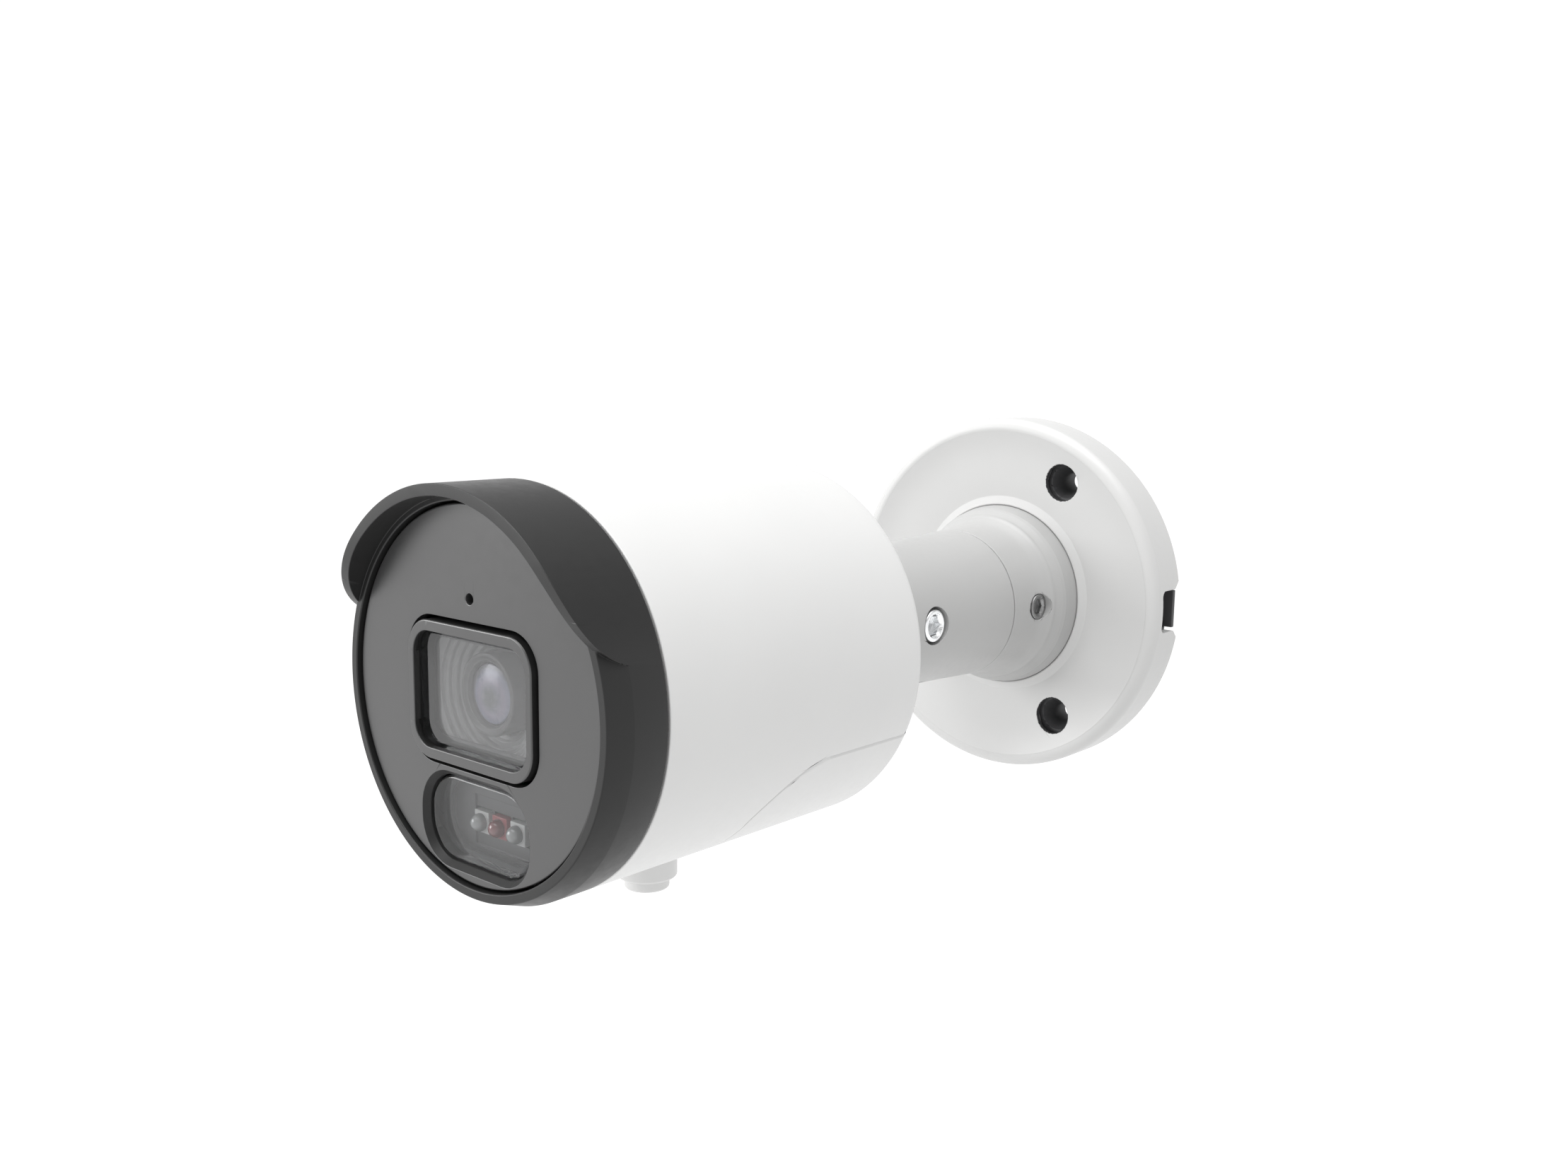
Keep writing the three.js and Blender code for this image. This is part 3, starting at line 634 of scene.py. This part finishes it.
def make_collar():
    foot = high("swivel_collar", "x")
    spigot = 13.5
    flare = spline([
        (ARM_REAR_RADIUS, SEAM - 1.4), (17.02, 25.4), (17.3, 22.4), (17.85, 19.9), (18.75, 17.9),
        (19.35, 16.9), (19.6, 16.1), (20.05, 15.1), (20.4, 14.4),
    ], 7)
    outline = rounded([
        (spigot, SEAM - 0.3, 0.2), (ARM_REAR_RADIUS, SEAM - 0.3, 0.3), *flare, (20.75, 13.6, 0.3),
        (COLLAR_HOLE - 0.3, 10.4, 0.3), (COLLAR_HOLE - 0.3, 6.2), (foot, 6.2, 0.4), (foot, 3.8, 0.4),
        (16.6, 3.8, 0.3), (16.6, 13.4, 0.4), (spigot, 13.4, 0.2),
    ])
    centre = (middle("swivel_set_screw", "y"), 0)
    screw_radius = high("swivel_set_screw", "z")
    cuts = [rod("x", screw_radius + 0.08, spigot, 30, centre, 64)]
    cuts += [rod("y", 1.9, 3, 7, c, 32) for c in COLLAR_SCREWS]
    place("swivel_socket", solid(lathe(finer(outline, 2), 160), cuts), "swivel_collar", arm_paint_painted_shade, 0.12, 2)

    screw = rod("x", screw_radius, low("swivel_set_screw", "x"), 17.6, centre, 64, 0.15)
    lead_in = lathe([(0, 17.1), (1.75, 17.1), (2.3, 17.7), (0, 17.7)], 64, "x", centre)
    hollow = [hexagon("x", 3.2, 16.3, 20, centre), lead_in]
    place("socket_set_screw", solid(screw, hollow), "swivel_set_screw", dark_steel, 0.08, 2)

    nut = rounded([
        (8.4, 10.4, 0.3), (16.2, 10.4, 0.4), (16.2, 13, 0.4), (12.6, 13, 0.2), (12.6, 14.1, 0.3),
        (8.4, 14.1, 0.3),
    ])
    slots = [block((-1.6, 1.6), (-11.8, -9), (s * 16 - 2.2, s * 16 + 2.2)) for s in (-1, 1)]
    slots += [block((s * 16 - 2.2, s * 16 + 2.2), (-11.8, -9), (-1.6, 1.6)) for s in (-1, 1)]
    place("spigot_ring_nut", solid(lathe(nut, 96), slots), "swivel_retainer", dark_steel, 0.15, 2)


def make_arm():
    slot = 6.5  # half the width of the slot for the tail's tongue
    front_station = front("swivel_arm")
    body = lathe(finer(rounded([
        (0, 14.4), (13.2, 14.4, 0.5), (13.2, SEAM), (ARM_REAR_RADIUS, SEAM, 0.3),
        (ARM_FRONT_RADIUS, front_station + 1), (0, front_station + 1),
    ], closed=False), 1.5), 160)
    nose = as_tool(solid(
        rod("x", ARM_FRONT_RADIUS, -20, 20, (HINGE, 0), 160),
        joins=[block((-20, 20), (HINGE, 0), (-20, 20))]))
    cuts = [
        rod("x", 13.2, -slot, slot, (HINGE, 0), 96),
        block((-slot, slot), (-front_station - 2, HINGE), (-22, 8.9)),
        block((-slot, slot), (HINGE - 1, HINGE + 8.9), (-22, 0)),
        rod("y", 8, 10, -HINGE - 4, segments=64),
        rod("x", 2.8, -20, 20, (HINGE, 0), 48),
        rod("x", 4.1, 11.6, 20, (HINGE, 0), 72),
        hexagon("x", 8.6, -20, -11.6, (HINGE, 0)),
    ]
    place("bracket_arm", solid(body, cuts, keep=[nose]), "swivel_arm", arm_paint_painted_shade, 0.1, 2, 50)


def make_hinge():
    centre = (HINGE, 0)
    bolt = lathe(rounded([
        (0, -14.6), (2.5, -14.6, 0.4), (2.5, 11.9), (3.5, 11.9, 0.2), (3.5, 15.3, 0.55), (0, 15.3),
    ], closed=False), 96, "x", centre)
    lead_in = lathe([(0, 14.6), (2.2, 14.6), (2.75, 15.5), (0, 15.5)], 72, "x", centre)
    hollow = [hexagon("x", 4, 13, 20, centre), lead_in]
    place("hinge_socket_bolt", solid(bolt, hollow), "hinge_bolt", bright_steel, 0.1, 3)
    chamfered = lathe([(0, -15.2), (3.9, -15.2), (4.7, -14.6), (4.7, -11.8), (0, -11.8)], 72, "x", centre)
    nut = solid(hexagon("x", 8, -15.2, -11.9, centre), [rod("x", 2.7, -20, 0, centre, 48)],
                keep=[chamfered])
    place("hinge_hex_nut", nut, "hinge_nut", bright_steel, 0.12, 2)
    for side in ("left", "right"):
        node = f"friction_washer_{side}"
        place(f"disc_washer_{side}", tube(2.8, 6.5, low(node, "x"), high(node, "x"), 96, 0.12, "x", centre),
              node, dark_steel)


# ---------------------------------------------------------------- tail
def make_tail():
    half = 5.4  # half the thickness of the tongue
    tongue = rod("x", 12.7, -half, half, (HINGE, 0), 128)
    joins = [
        block((-half, half), (-77.4, HINGE), (-8.3, 8.3)),
        lathe(rounded([
            (0, 76.4), (9.5, 76.4, 0.6), (12, 79.4, 1.6), (12, BODY_REAR - 0.3, 0.5), (0, BODY_REAR - 0.3),
        ], closed=False), 128),
        rod("y", 6, BODY_REAR - 1, front("tail_tongue"), segments=64, edge=0.5),
    ]
    cuts = [
        rod("y", 3.6, -HINGE + 5, front("tail_tongue") + 1, segments=48),
        rod("x", 2.8, -20, 20, (HINGE, 0), 48),
        rod("y", 3.6, -HINGE - 20, -HINGE + 8, (0, 8), 48),
    ]
    place("tail_knuckle", solid(tongue, cuts, joins), "tail_tongue", bracket_paint_painted_shade, 0.12, 2, 50)
    chamfered = lathe([(0, 93), (9.9, 93.2), (11.2, 94.2), (11.2, 96.6), (9.9, 97.5), (0, 97.5)], 96)
    nut = solid(hexagon("y", 19, rear("roll_nut"), front("roll_nut")), [rod("y", 6.3, 80, 110)],
                keep=[chamfered])
    place("roll_hex_nut", nut, "roll_nut", plain_steel, 0.15, 2)
    seal = tube(6.3, 8, rear("roll_seal"), front("roll_seal"), 96, 0.5)
    place("roll_ring_seal", seal, "roll_seal", seal_rubber)


# ---------------------------------------------------------------- body
COVER_FRONT = front("access_cover")
PLUG = (0, middle("vent_plug", "y"))
SCREW = (0, middle("access_cover_screw", "y"))


def cover_outline(inset, rear_station):
    """Plan of the access cover: its front corners are quarter ellipses."""
    side = 32 - inset
    nose = -COVER_FRONT - 0.2 + inset
    wide, deep = 7.3, 13.8
    corner = [(math.cos(math.radians(a)), math.sin(math.radians(a))) for a in range(180, 271, 5)]
    left = [(-side + wide + wide * c, nose + deep + deep * s) for c, s in corner]
    right = [(-x, y) for x, y in reversed(left)]
    return [(-side, -rear_station)] + left + right + [(side, -rear_station)]


def underside(inset, rear_station):
    """The space under the body that the access cover's plan takes up."""
    return prism(cover_outline(inset, rear_station), lambda x, y: (x, y, -42), (0, 0, 34))


def plug_holes():
    """The recess for the vent plug's flange and the hole for its stem."""
    return [rod("z", 6, -42, -34.1, PLUG, 72), rod("z", 3.3, -42, -25, PLUG, 48)]


def make_body():
    wall = 3.8
    inner = BODY_RADIUS - wall
    end = front("housing_shell")
    outline = rounded([
        (8.6, BODY_REAR, 0.4), (BODY_RADIUS, BODY_REAR, 3.0), (BODY_RADIUS, end, 0.25), (inner, end, 0.3),
        (inner, BODY_REAR + 4, 0.8), (8.6, BODY_REAR + 4, 0.3),
    ])
    core = rod("y", BODY_RADIUS - 2.6, 80, 160, segments=160)
    recess = as_tool(solid(underside(0, BODY_REAR - 2), [core]))
    cuts = [recess, underside(4, BODY_REAR + 12), *plug_holes(), rod("z", 1.9, -42, -25, SCREW, 32)]
    place("body_housing", solid(lathe(finer(outline, 3), 192), cuts), "housing_shell", white_paint, 0.12, 2)

    skin = arc((BODY_RADIUS - 3, BODY_REAR + 3), 3, -60, 0, 7)
    skin += [(BODY_RADIUS, COVER_FRONT + 6), (BODY_RADIUS - 1.5, COVER_FRONT + 6)]
    cuts = [*plug_holes(), rod("z", 1.6, -42, -25, SCREW, 32), rod("z", 3, -42, -34.1, SCREW, 48)]
    place("underside_cover", solid(lathe(finer(skin, 3), 192), cuts, keep=[underside(0.25, BODY_REAR - 2)]),
          "access_cover", white_paint, 0.12, 2)

    band = tube(BODY_RADIUS - 2.35, BODY_RADIUS - 1.75, BODY_REAR + 0.5, COVER_FRONT + 6, 144)
    seal = solid(band, [underside(3.2, BODY_REAR + 11.2), rod("z", 3.6, -42, -25, PLUG, 48)],
                 keep=[underside(0.6, BODY_REAR + 8.6)])
    place("cover_flat_seal", seal, "access_cover_seal", seal_rubber, 0.1, 2)

    screw = lathe(rounded([
        (0, -34.9), (2.7, -34.9, 0.25), (2.7, -34.35), (1.3, -34.3), (1.3, -28, 0.3), (0, -28),
    ], closed=False), 48, "z", SCREW)
    x, y = SCREW
    cross = [block((x - a, x + a), (y - b, y + b), (-36, -34.6)) for a, b in CROSS_ARMS]
    place("cover_cross_screw", solid(screw, cross), "access_cover_screw", plain_steel, 0.05, 2)

    plug = lathe(rounded([
        (0, low("vent_plug", "z")), (4.19, low("vent_plug", "z"), 0.45), (4.19, -40, 0.15), (5.63, -40, 0.5),
        (5.63, -34.4, 0.1), (3, -34.4, 0.1), (3, -29.5, 0.3), (0, -29.5),
    ], closed=False), 96, "z", PLUG)
    vents = [rod("z", 0.45, -44, -41.2, (PLUG[0] + 2.2 * math.cos(a), PLUG[1] + 2.2 * math.sin(a)), 20)
             for a in (0.5, 2.6, 4.7)]
    place("vent_boss", solid(plug, vents), "vent_plug", white_paint, 0.08, 2)
    nut = solid(hexagon("z", 8, -30.6, -28.4, PLUG), [rod("z", 3.2, -40, -20, PLUG, 48)])
    place("vent_hex_nut", nut, "vent_plug_nut", black_plastic, 0.2, 2)


# ---------------------------------------------------------------- bezel, visor and front panel
CONE = BODY_REAR + 73.4
FACE = CONE + 4.3
TIP = front("bezel_visor")
LEDGE = rear("front_panel") - 0.3


def window(node, growth, corner):
    """Half width w, half height h, corner radius r and centre height z of a rectangle around a node."""
    return {"w": high(node, "x") + growth, "h": (high(node, "z") - low(node, "z")) / 2 + growth,
            "r": corner, "z": middle(node, "z")}


LIGHT = window("light_window", 1.2, 7.6)
FRAME = window("lens_frame", 0, 5.6)
PANE = window("lens_window", -0.3, 4.0)


def grown(shape, amount, station):
    return (shape["w"] + amount, shape["h"] + amount, shape["r"] + amount, station)


def opening(shape, stations):
    """A closed loft through a window's opening from (growth, station) pairs."""
    return rectangle_loft([grown(shape, g, s) for g, s in stations], shape["z"], closed=False)


def bezier(p0, p1, p2, p3, steps):
    result = []
    for k in range(steps + 1):
        t = k / steps
        u = 1 - t
        result.append(tuple(u ** 3 * a + 3 * u ** 2 * t * b + 3 * u * t * t * c + t ** 3 * d
                            for a, b, c, d in zip(p0, p1, p2, p3)))
    return result


def make_bezel():
    start = BODY_REAR + 66.4
    skirt = 30.0
    band = rounded([
        (skirt, start - 6.2, 0.2), (skirt, start - 4.2), (skirt - 0.6, start - 4.2),
        (skirt - 0.6, start - 2.6), (skirt, start - 2.6), (skirt, start), (BODY_RADIUS, start, 0.3),
        (BODY_RADIUS, CONE), (33.6, FACE, 0.3), (PANEL_RADIUS + 0.4, FACE, 0.25),
        (PANEL_RADIUS + 0.4, LEDGE, 0.1), (skirt - 2, LEDGE, 0.2), (skirt - 2, start - 6.2, 0.2),
    ])
    edge = bezier((TIP, 25), (TIP, 16.5), (167, 11.5), (CONE, 9.7), 40)
    side = [(CONE - 2, 40), (TIP, 40)] + edge + [(CONE - 2, 9.7)]
    profile = prism(side, lambda s, z: (-40, -s, z), (80, 0, 0))
    hood = solid(tube(BODY_RADIUS - 2, BODY_RADIUS, CONE - 2, TIP, 192), keep=[profile])
    relief = opening(LIGHT, [(-1.3, 140), (-1.3, LEDGE + 0.2)])
    bezel = solid(lathe(band, 192), [relief], [as_tool(hood)])
    for wall in bezel.data.polygons:  # the cone between the side and the front gets painted shade from a duller copy of the bezel plastic
        x, y, z = wall.center
        outward = (wall.normal.x * x + wall.normal.z * z) / max(math.hypot(x, z), 1)
        if CONE < -y < FACE and outward > 0.5 and wall.normal.y < -0.15:
            wall.material_index = 1
    place("bezel_with_visor", bezel, "bezel_visor", [bezel_plastic, painted_shade_plastic], 0.12, 2, 40)
    ring = lathe(arc((30.3, 151.3), 0.52, 0, 350, 23), 144)
    place("front_ring_seal", ring, "front_seal", seal_rubber)


def make_panel():
    back = PANEL_FACE - 2
    outline = rounded([
        (0, back), (PANEL_RADIUS - 1.8, back, 0.2), (PANEL_RADIUS - 1.8, LEDGE + 0.3, 0.1),
        (PANEL_RADIUS, LEDGE + 0.3, 0.1), (PANEL_RADIUS, PANEL_FACE, 0.35), (0, PANEL_FACE),
    ], closed=False)
    hole = (0, middle("microphone", "z") - 0.6)
    cuts = [
        opening(FRAME, [(0.75, 150), (0.75, 170)]),
        opening(LIGHT, [(-0.9, 150), (-0.9, PANEL_FACE - 1.1), (0, PANEL_FACE), (0.3, PANEL_FACE + 0.37)]),
        lathe([
            (0, 150), (0.9, 150), (0.9, PANEL_FACE - 0.15), (1.1, PANEL_FACE + 0.1), (0, PANEL_FACE + 0.1),
        ], 48, "y", hole),
    ]
    plate = solid(lathe(finer(outline, 4), 192), cuts)
    # the walls of the light window's opening get painted shade from a darker copy of the panel plastic
    for wall in plate.data.polygons:
        x, y, z = wall.center
        in_opening = abs(x) < LIGHT["w"] + 0.1 and abs(z - LIGHT["z"]) < LIGHT["h"] + 0.1
        if in_opening and abs(wall.normal.y) < 0.9:
            wall.material_index = 1
    place("front_plate", plate, "front_panel", [panel_plastic, painted_shade_plastic], 0.1, 2)


# ---------------------------------------------------------------- lens window and lens
def make_lens_window():
    z = PANE["z"]
    back, face = rear("lens_frame"), front("lens_frame")
    fw, fh, fr = FRAME["w"], FRAME["h"], FRAME["r"]
    pw, ph, pr = PANE["w"], PANE["h"], PANE["r"]
    seat = front("lens_window") + 0.3
    outer = [(fw, fh, fr, back)]
    for c, s in arc((0.3, 0.3), 0.3, 180, 90, 4):
        outer.append((fw - c, fh - c, fr - c * 0.8, face - 0.6 + s))
    inner = []
    for c, s in arc((0.15, 0.15), 0.15, 90, 180, 3):
        inner.append((pw + c, ph + c, pr + c, face - 0.3 + s))
    inner += [(pw, ph, pr, seat), (pw + 0.6, ph + 0.6, pr + 0.6, seat), (pw + 0.6, ph + 0.6, pr + 0.6, back)]
    ring = rectangle_loft(outer + inner, z, steps=14)
    # the frame's side walls and recess walls are painted black as painted shade
    for wall in ring.faces:
        if max(-v.co.y for v in wall.verts) < face - 0.1 or abs(wall.calc_center_median().y + face) > 0.25:
            wall.material_index = 1
    place("lens_surround", ring, "lens_frame", [panel_plastic, black_plastic])

    glass_back, glass_front = rear("lens_window"), front("lens_window")
    pane = [
        (pw + 0.3, ph + 0.3, pr + 0.3, glass_back), (pw + 0.3, ph + 0.3, pr + 0.3, glass_front - 0.35),
        (pw + 0.1, ph + 0.1, pr + 0.1, glass_front - 0.3),
        (pw - 0.6, ph - 0.6, pr - 0.5, glass_front - 0.04), (pw - 0.68, ph - 0.68, pr - 0.55, glass_front),
    ]
    place("lens_cover_glass", rectangle_loft(pane, z, closed=False, steps=14), "lens_window", lens_glass)
    rest = rear("lens_window_gasket")
    mask = [(pw + 0.3, ph + 0.3, pr + 0.3, rest), (pw + 0.3, ph + 0.3, pr + 0.3, glass_back - 0.3),
            (pw - 1.4, ph - 1.4, pr - 1.4, glass_back - 0.3), (pw - 1.6, ph - 1.6, pr - 1.5, rest)]
    place("lens_border_mask", rectangle_loft(mask, z), "lens_window_gasket", seal_rubber, 0.12, 3)

    # the shroud: a rounded block with a stepped cone down to the lens
    top = front("lens_shroud")
    steps = [(0, top + 5), (12.6, top + 5)]
    for k in range(4):
        radius, ledge = 12.6 - 1.15 * k, top - 0.65 - 0.8 * k
        steps += [(radius, ledge, 0.08), (radius - 0.75, ledge, 0.2), (radius - 1.0, ledge - 0.3, 0.1)]
    steps += [(8.2, top - 3.5, 0.2), (7.4, top - 3.9, 0.1), (7.4, 140), (0, 140)]
    steps = rounded(steps, closed=False)
    ends = [(pw + 0.3, ph + 0.3, pr + 0.3, station) for station in (rear("lens_shroud"), top)]
    shell = rectangle_loft(ends, z, closed=False, steps=14)
    place("lens_funnel", solid(shell, [lathe(steps, 128)]), "lens_shroud", shroud_plastic, 0.12, 2)


def make_lens():
    nose = front("lens_barrel")
    barrel = rounded([
        (3.6, 143, 0.2), (5.9, 143, 0.3), (5.9, 154, 0.3), (7.0, 154, 0.2), (7.0, nose, 0.3),
        (6.4, nose, 0.15), (5.9, nose - 0.35, 0.12), (5.65, nose - 0.35, 0.1), (5.3, nose - 0.9, 0.1),
        (5.3, 157.5), (4.4, 157.5, 0.2), (4.4, 146), (3.6, 146, 0.2),
    ])
    threads = [tube(5.75, 6.2, s, s + 0.35, 96) for s in [144 + 0.8 * k for k in range(10)]]
    place("lens_tube", solid(lathe(barrel, 128), threads), "lens_barrel", black_plastic)
    top = front("front_lens")
    edge, rise = 5.2, 1.15
    dome_radius = (edge ** 2 + rise ** 2) / (2 * rise)
    crown = [(dome_radius * math.sin(a), top - dome_radius + dome_radius * math.cos(a))
             for a in [math.asin(edge / dome_radius) * k / 14 for k in range(15)]]
    place("front_element", lathe([(0, 158), (edge, 158)] + crown[::-1], 96), "front_lens", front_lens_material_painted_reflection)
    rear_face = [(4.1 * math.sin(math.radians(a)), 148.0 + 0.8 * math.cos(math.radians(a)))
                 for a in range(90, -1, -10)]
    place("rear_element", lathe([(0, 146.4), (4.1, 146.4)] + rear_face, 72), "rear_lens", rear_coating)
    base = rectangle_loft([(11, 11, 1.5, 142.6), (11, 11, 1.5, 145)], 0, closed=False)
    corner_holes = [rod("y", 1.1, 140, 150, (x, z), 24) for x in (-9, 9) for z in (-9, 9)]
    collar = rod("y", 8.2, 142.6, 152.4, segments=96)
    holder = solid(base, [rod("y", 6.2, 140, 160), *corner_holes], [collar])
    place("lens_mount", holder, "lens_holder", black_plastic, 0.2, 2)


# ---------------------------------------------------------------- light window and emitters
def make_light_window():
    z = LIGHT["z"]
    w, h, r = LIGHT["w"], LIGHT["h"], LIGHT["r"]
    back, face = rear("light_window"), front("light_window")
    pane = [
        (w - 1.2, h - 1.2, r - 1.2, back), (w - 1.2, h - 1.2, r - 1.2, face - 0.3),
        (w - 1.26, h - 1.26, r - 1.26, face - 0.2), (w - 1.5, h - 1.5, r - 1.45, face - 0.03),
        (w - 1.6, h - 1.6, r - 1.55, face),
    ]
    place("light_cover_glass", rectangle_loft(pane, z, closed=False, steps=14), "light_window", light_glass)
    low_side, high_side = rear("light_window_gasket"), front("light_window_gasket")
    gasket = [(w - 1.6, h - 1.6, r - 1.6, low_side), (w - 1.6, h - 1.6, r - 1.6, high_side),
              (w - 2.6, h - 2.6, r - 2.6, high_side), (w - 2.6, h - 2.6, r - 2.6, low_side)]
    seal = rectangle_loft(gasket, z, steps=14)
    place("light_border_seal", seal, "light_window_gasket", seal_rubber, 0.12, 2)

    emitters = ("white_light_left", "infrared_light", "white_light_right")
    centres = [(middle(node, "x"), middle(node, "z")) for node in emitters]
    windows = [block((x - 2.2, x + 2.2), (-161, -150), (c - 2.2, c + 2.2)) for x, c in centres]
    channel = block((centres[0][0] - 2.2, w - 1), (-161, -front("light_mask") + 0.35),
                    (centres[0][1] - 4.4, centres[0][1] + 4.4))
    mask = rectangle_loft([(w - 1.6, h - 1.6, r - 1.6, rear("light_mask")),
                           (w - 1.6, h - 1.6, r - 1.6, front("light_mask"))], z, closed=False)
    place("emitter_mask", solid(mask, [channel, *windows]), "light_mask", mask_plastic, 0.1, 2)
    board = rectangle_loft([(w - 1.6, h - 1.6, r - 1.6, rear("light_board")),
                            (w - 1.6, h - 1.6, r - 1.6, front("light_board"))], z, closed=False)
    place("emitter_board", board, "light_board", circuit_board, 0.1, 2)
    for node, (x, c) in zip(emitters, centres):
        red = node == "infrared_light"
        rim, pad, radius = 1.9, 160.0, 1.55
        centre_station = pad + 0.45
        base = block((x - rim, x + rim), (-pad, -rear(node)), (c - rim, c + rim))
        ring = tube(radius - 0.05, radius + 0.12, pad - 0.1, pad + 0.1, 64, 0.04, "y", (x, c))
        crown = [(radius * math.cos(math.radians(a)), centre_station + radius * math.sin(math.radians(a)))
                 for a in range(-40, 90, 6)]
        crown = [(0, pad - 0.4), *crown, (0, centre_station + radius)]
        body = solid(base, joins=[ring])
        soften(body, 0.12, 2)
        dome = to_object("dome", lathe(crown, 64, "y", (x, c)))
        body_faces = len(body.data.polygons)
        bm = bmesh.new()
        bm.from_mesh(body.data)
        bm.from_mesh(dome.data)
        bm.faces.ensure_lookup_table()
        for dome_face in bm.faces[body_faces:]:
            dome_face.material_index = 1
        bpy.data.objects.remove(body)
        bpy.data.objects.remove(dome)
        finishes = [pad_red, red_resin] if red else [ceramic_white, clear_resin]
        place(f"emitter_{node}", bm, node, finishes)


# ---------------------------------------------------------------- inner pieces that keep their CAD shape
def finish_inner_pieces():
    for node, material in {
        "microphone": dark_steel, "microphone_boot": seal_rubber, "filter_frame": black_plastic,
        "infrared_cut_filter": filter_red, "filter_coil": dark_steel, "sensor_board": circuit_board,
        "image_sensor": chip_plastic, "board_chassis": turned_aluminium, "main_board": circuit_board,
        "processor": chip_plastic, "heat_sink": turned_aluminium, "socket_board": circuit_board,
        "card_slot": plain_steel, "memory_card": chip_plastic, "button_body": black_plastic,
        "reset_button": seal_rubber,
    }.items():
        polish(node, material)


# ---------------------------------------------------------------- stage
def area_light(name, location, target, size, power):
    light = bpy.data.lights.new(name, "AREA")
    light.shape = "RECTANGLE"
    light.size, light.size_y = size
    light.energy = power
    obj = bpy.data.objects.new(name, light)
    obj.location = location
    obj.rotation_euler = (Vector(target) - Vector(location)).to_track_quat("-Z", "Y").to_euler()
    bpy.context.scene.collection.objects.link(obj)


def make_stage():
    scene = bpy.context.scene
    scene.view_settings.view_transform = "Standard"
    scene.view_settings.look = "None"

    material, tree, shader = new_material("floor_white")
    tone = ramp(tree, noise(tree, 2.0), [(0.3, 0.24), (0.7, 0.26)])
    tree.links.new(tone, shader.inputs["Base Color"])
    shader.inputs["Roughness"].default_value = 0.9
    shader.inputs["Specular IOR Level"].default_value = 0.1
    shader.inputs["Emission Color"].default_value = (1, 1, 1, 1)
    shader.inputs["Emission Strength"].default_value = 0.82
    bm = bmesh.new()
    bmesh.ops.create_grid(bm, x_segments=8, y_segments=8, size=30)
    floor = to_object("floor", bm)
    floor.location.z = cad_bounds[0][2] - 0.2
    floor.data.materials.append(material)

    world = bpy.data.worlds.new("studio")
    scene.world = world
    world.use_nodes = True
    nodes, links = world.node_tree.nodes, world.node_tree.links
    coords = nodes.new("ShaderNodeTexCoord")
    split = nodes.new("ShaderNodeSeparateXYZ")
    links.new(coords.outputs["Generated"], split.inputs[0])
    # white up to a little over the horizon and again overhead, with a dimmer band between them
    # that is darkest to the rear and to the front right
    height = ramp(world.node_tree, split.outputs["Z"], [(0.25, 1), (0.42, 0), (0.8, 0), (1.0, 0.9)])
    sky = ramp(world.node_tree, split.outputs["Y"], [(0.0, 1.0), (0.35, 0.9), (0.75, 0.4), (1.0, 0.35)])
    toward = nodes.new("ShaderNodeVectorMath")
    toward.operation = "DOT_PRODUCT"
    toward.inputs[1].default_value = (0.66, -0.75, 0.0)
    links.new(coords.outputs["Generated"], toward.inputs[0])
    dim = ramp(world.node_tree, toward.outputs["Value"], [(0.0, 1.05), (0.25, 1.0), (0.75, 0.5), (1.0, 0.4)])
    dimmed = nodes.new("ShaderNodeMix")
    dimmed.data_type = "RGBA"
    dimmed.blend_type = "MULTIPLY"
    dimmed.inputs[0].default_value = 1.0
    links.new(sky, dimmed.inputs[6])
    links.new(dim, dimmed.inputs[7])
    shade = nodes.new("ShaderNodeMix")
    shade.data_type = "RGBA"
    shade.inputs[7].default_value = (1.03, 1.03, 1.03, 1)
    links.new(height, shade.inputs[0])
    links.new(dimmed.outputs[2], shade.inputs[6])
    links.new(shade.outputs[2], nodes["Background"].inputs["Color"])
    nodes["Background"].inputs["Strength"].default_value = 1.0

    area_light("key_above", (0.0, -0.3, 1.1), (0, -0.09, 0), (1.0, 1.0), 16)
    area_light("front_left", (-0.9, -1.0, 0.3), (0, -0.12, 0.0), (0.7, 0.5), 8)


def make_camera():
    scene = bpy.context.scene
    data = bpy.data.cameras.new("camera")
    data.sensor_fit = "HORIZONTAL"
    data.sensor_width = 36
    data.lens = 32.71
    data.clip_start = 0.01
    data.clip_end = 100
    obj = bpy.data.objects.new("camera", data)
    azimuth, elevation, roll = (math.radians(v) for v in (41.29, 8.60, 0.68))
    back = Vector((math.sin(azimuth) * math.cos(elevation), -math.cos(azimuth) * math.cos(elevation),
                   math.sin(elevation)))
    right = (-back).cross(Vector((0, 0, 1))).normalized()
    up = right.cross(-back)
    level = math.cos(roll) * right + math.sin(roll) * up
    upright = -math.sin(roll) * right + math.cos(roll) * up
    turn = Matrix((level, upright, back)).transposed().to_4x4()
    obj.matrix_world = Matrix.Translation((0.18605, -0.30073, 0.05324)) @ turn
    scene.collection.objects.link(obj)
    scene.camera = obj


make_base()
make_collar()
make_arm()
make_hinge()
make_tail()
make_body()
make_bezel()
make_panel()
make_lens_window()
make_lens()
make_light_window()
finish_inner_pieces()
make_stage()
make_camera()
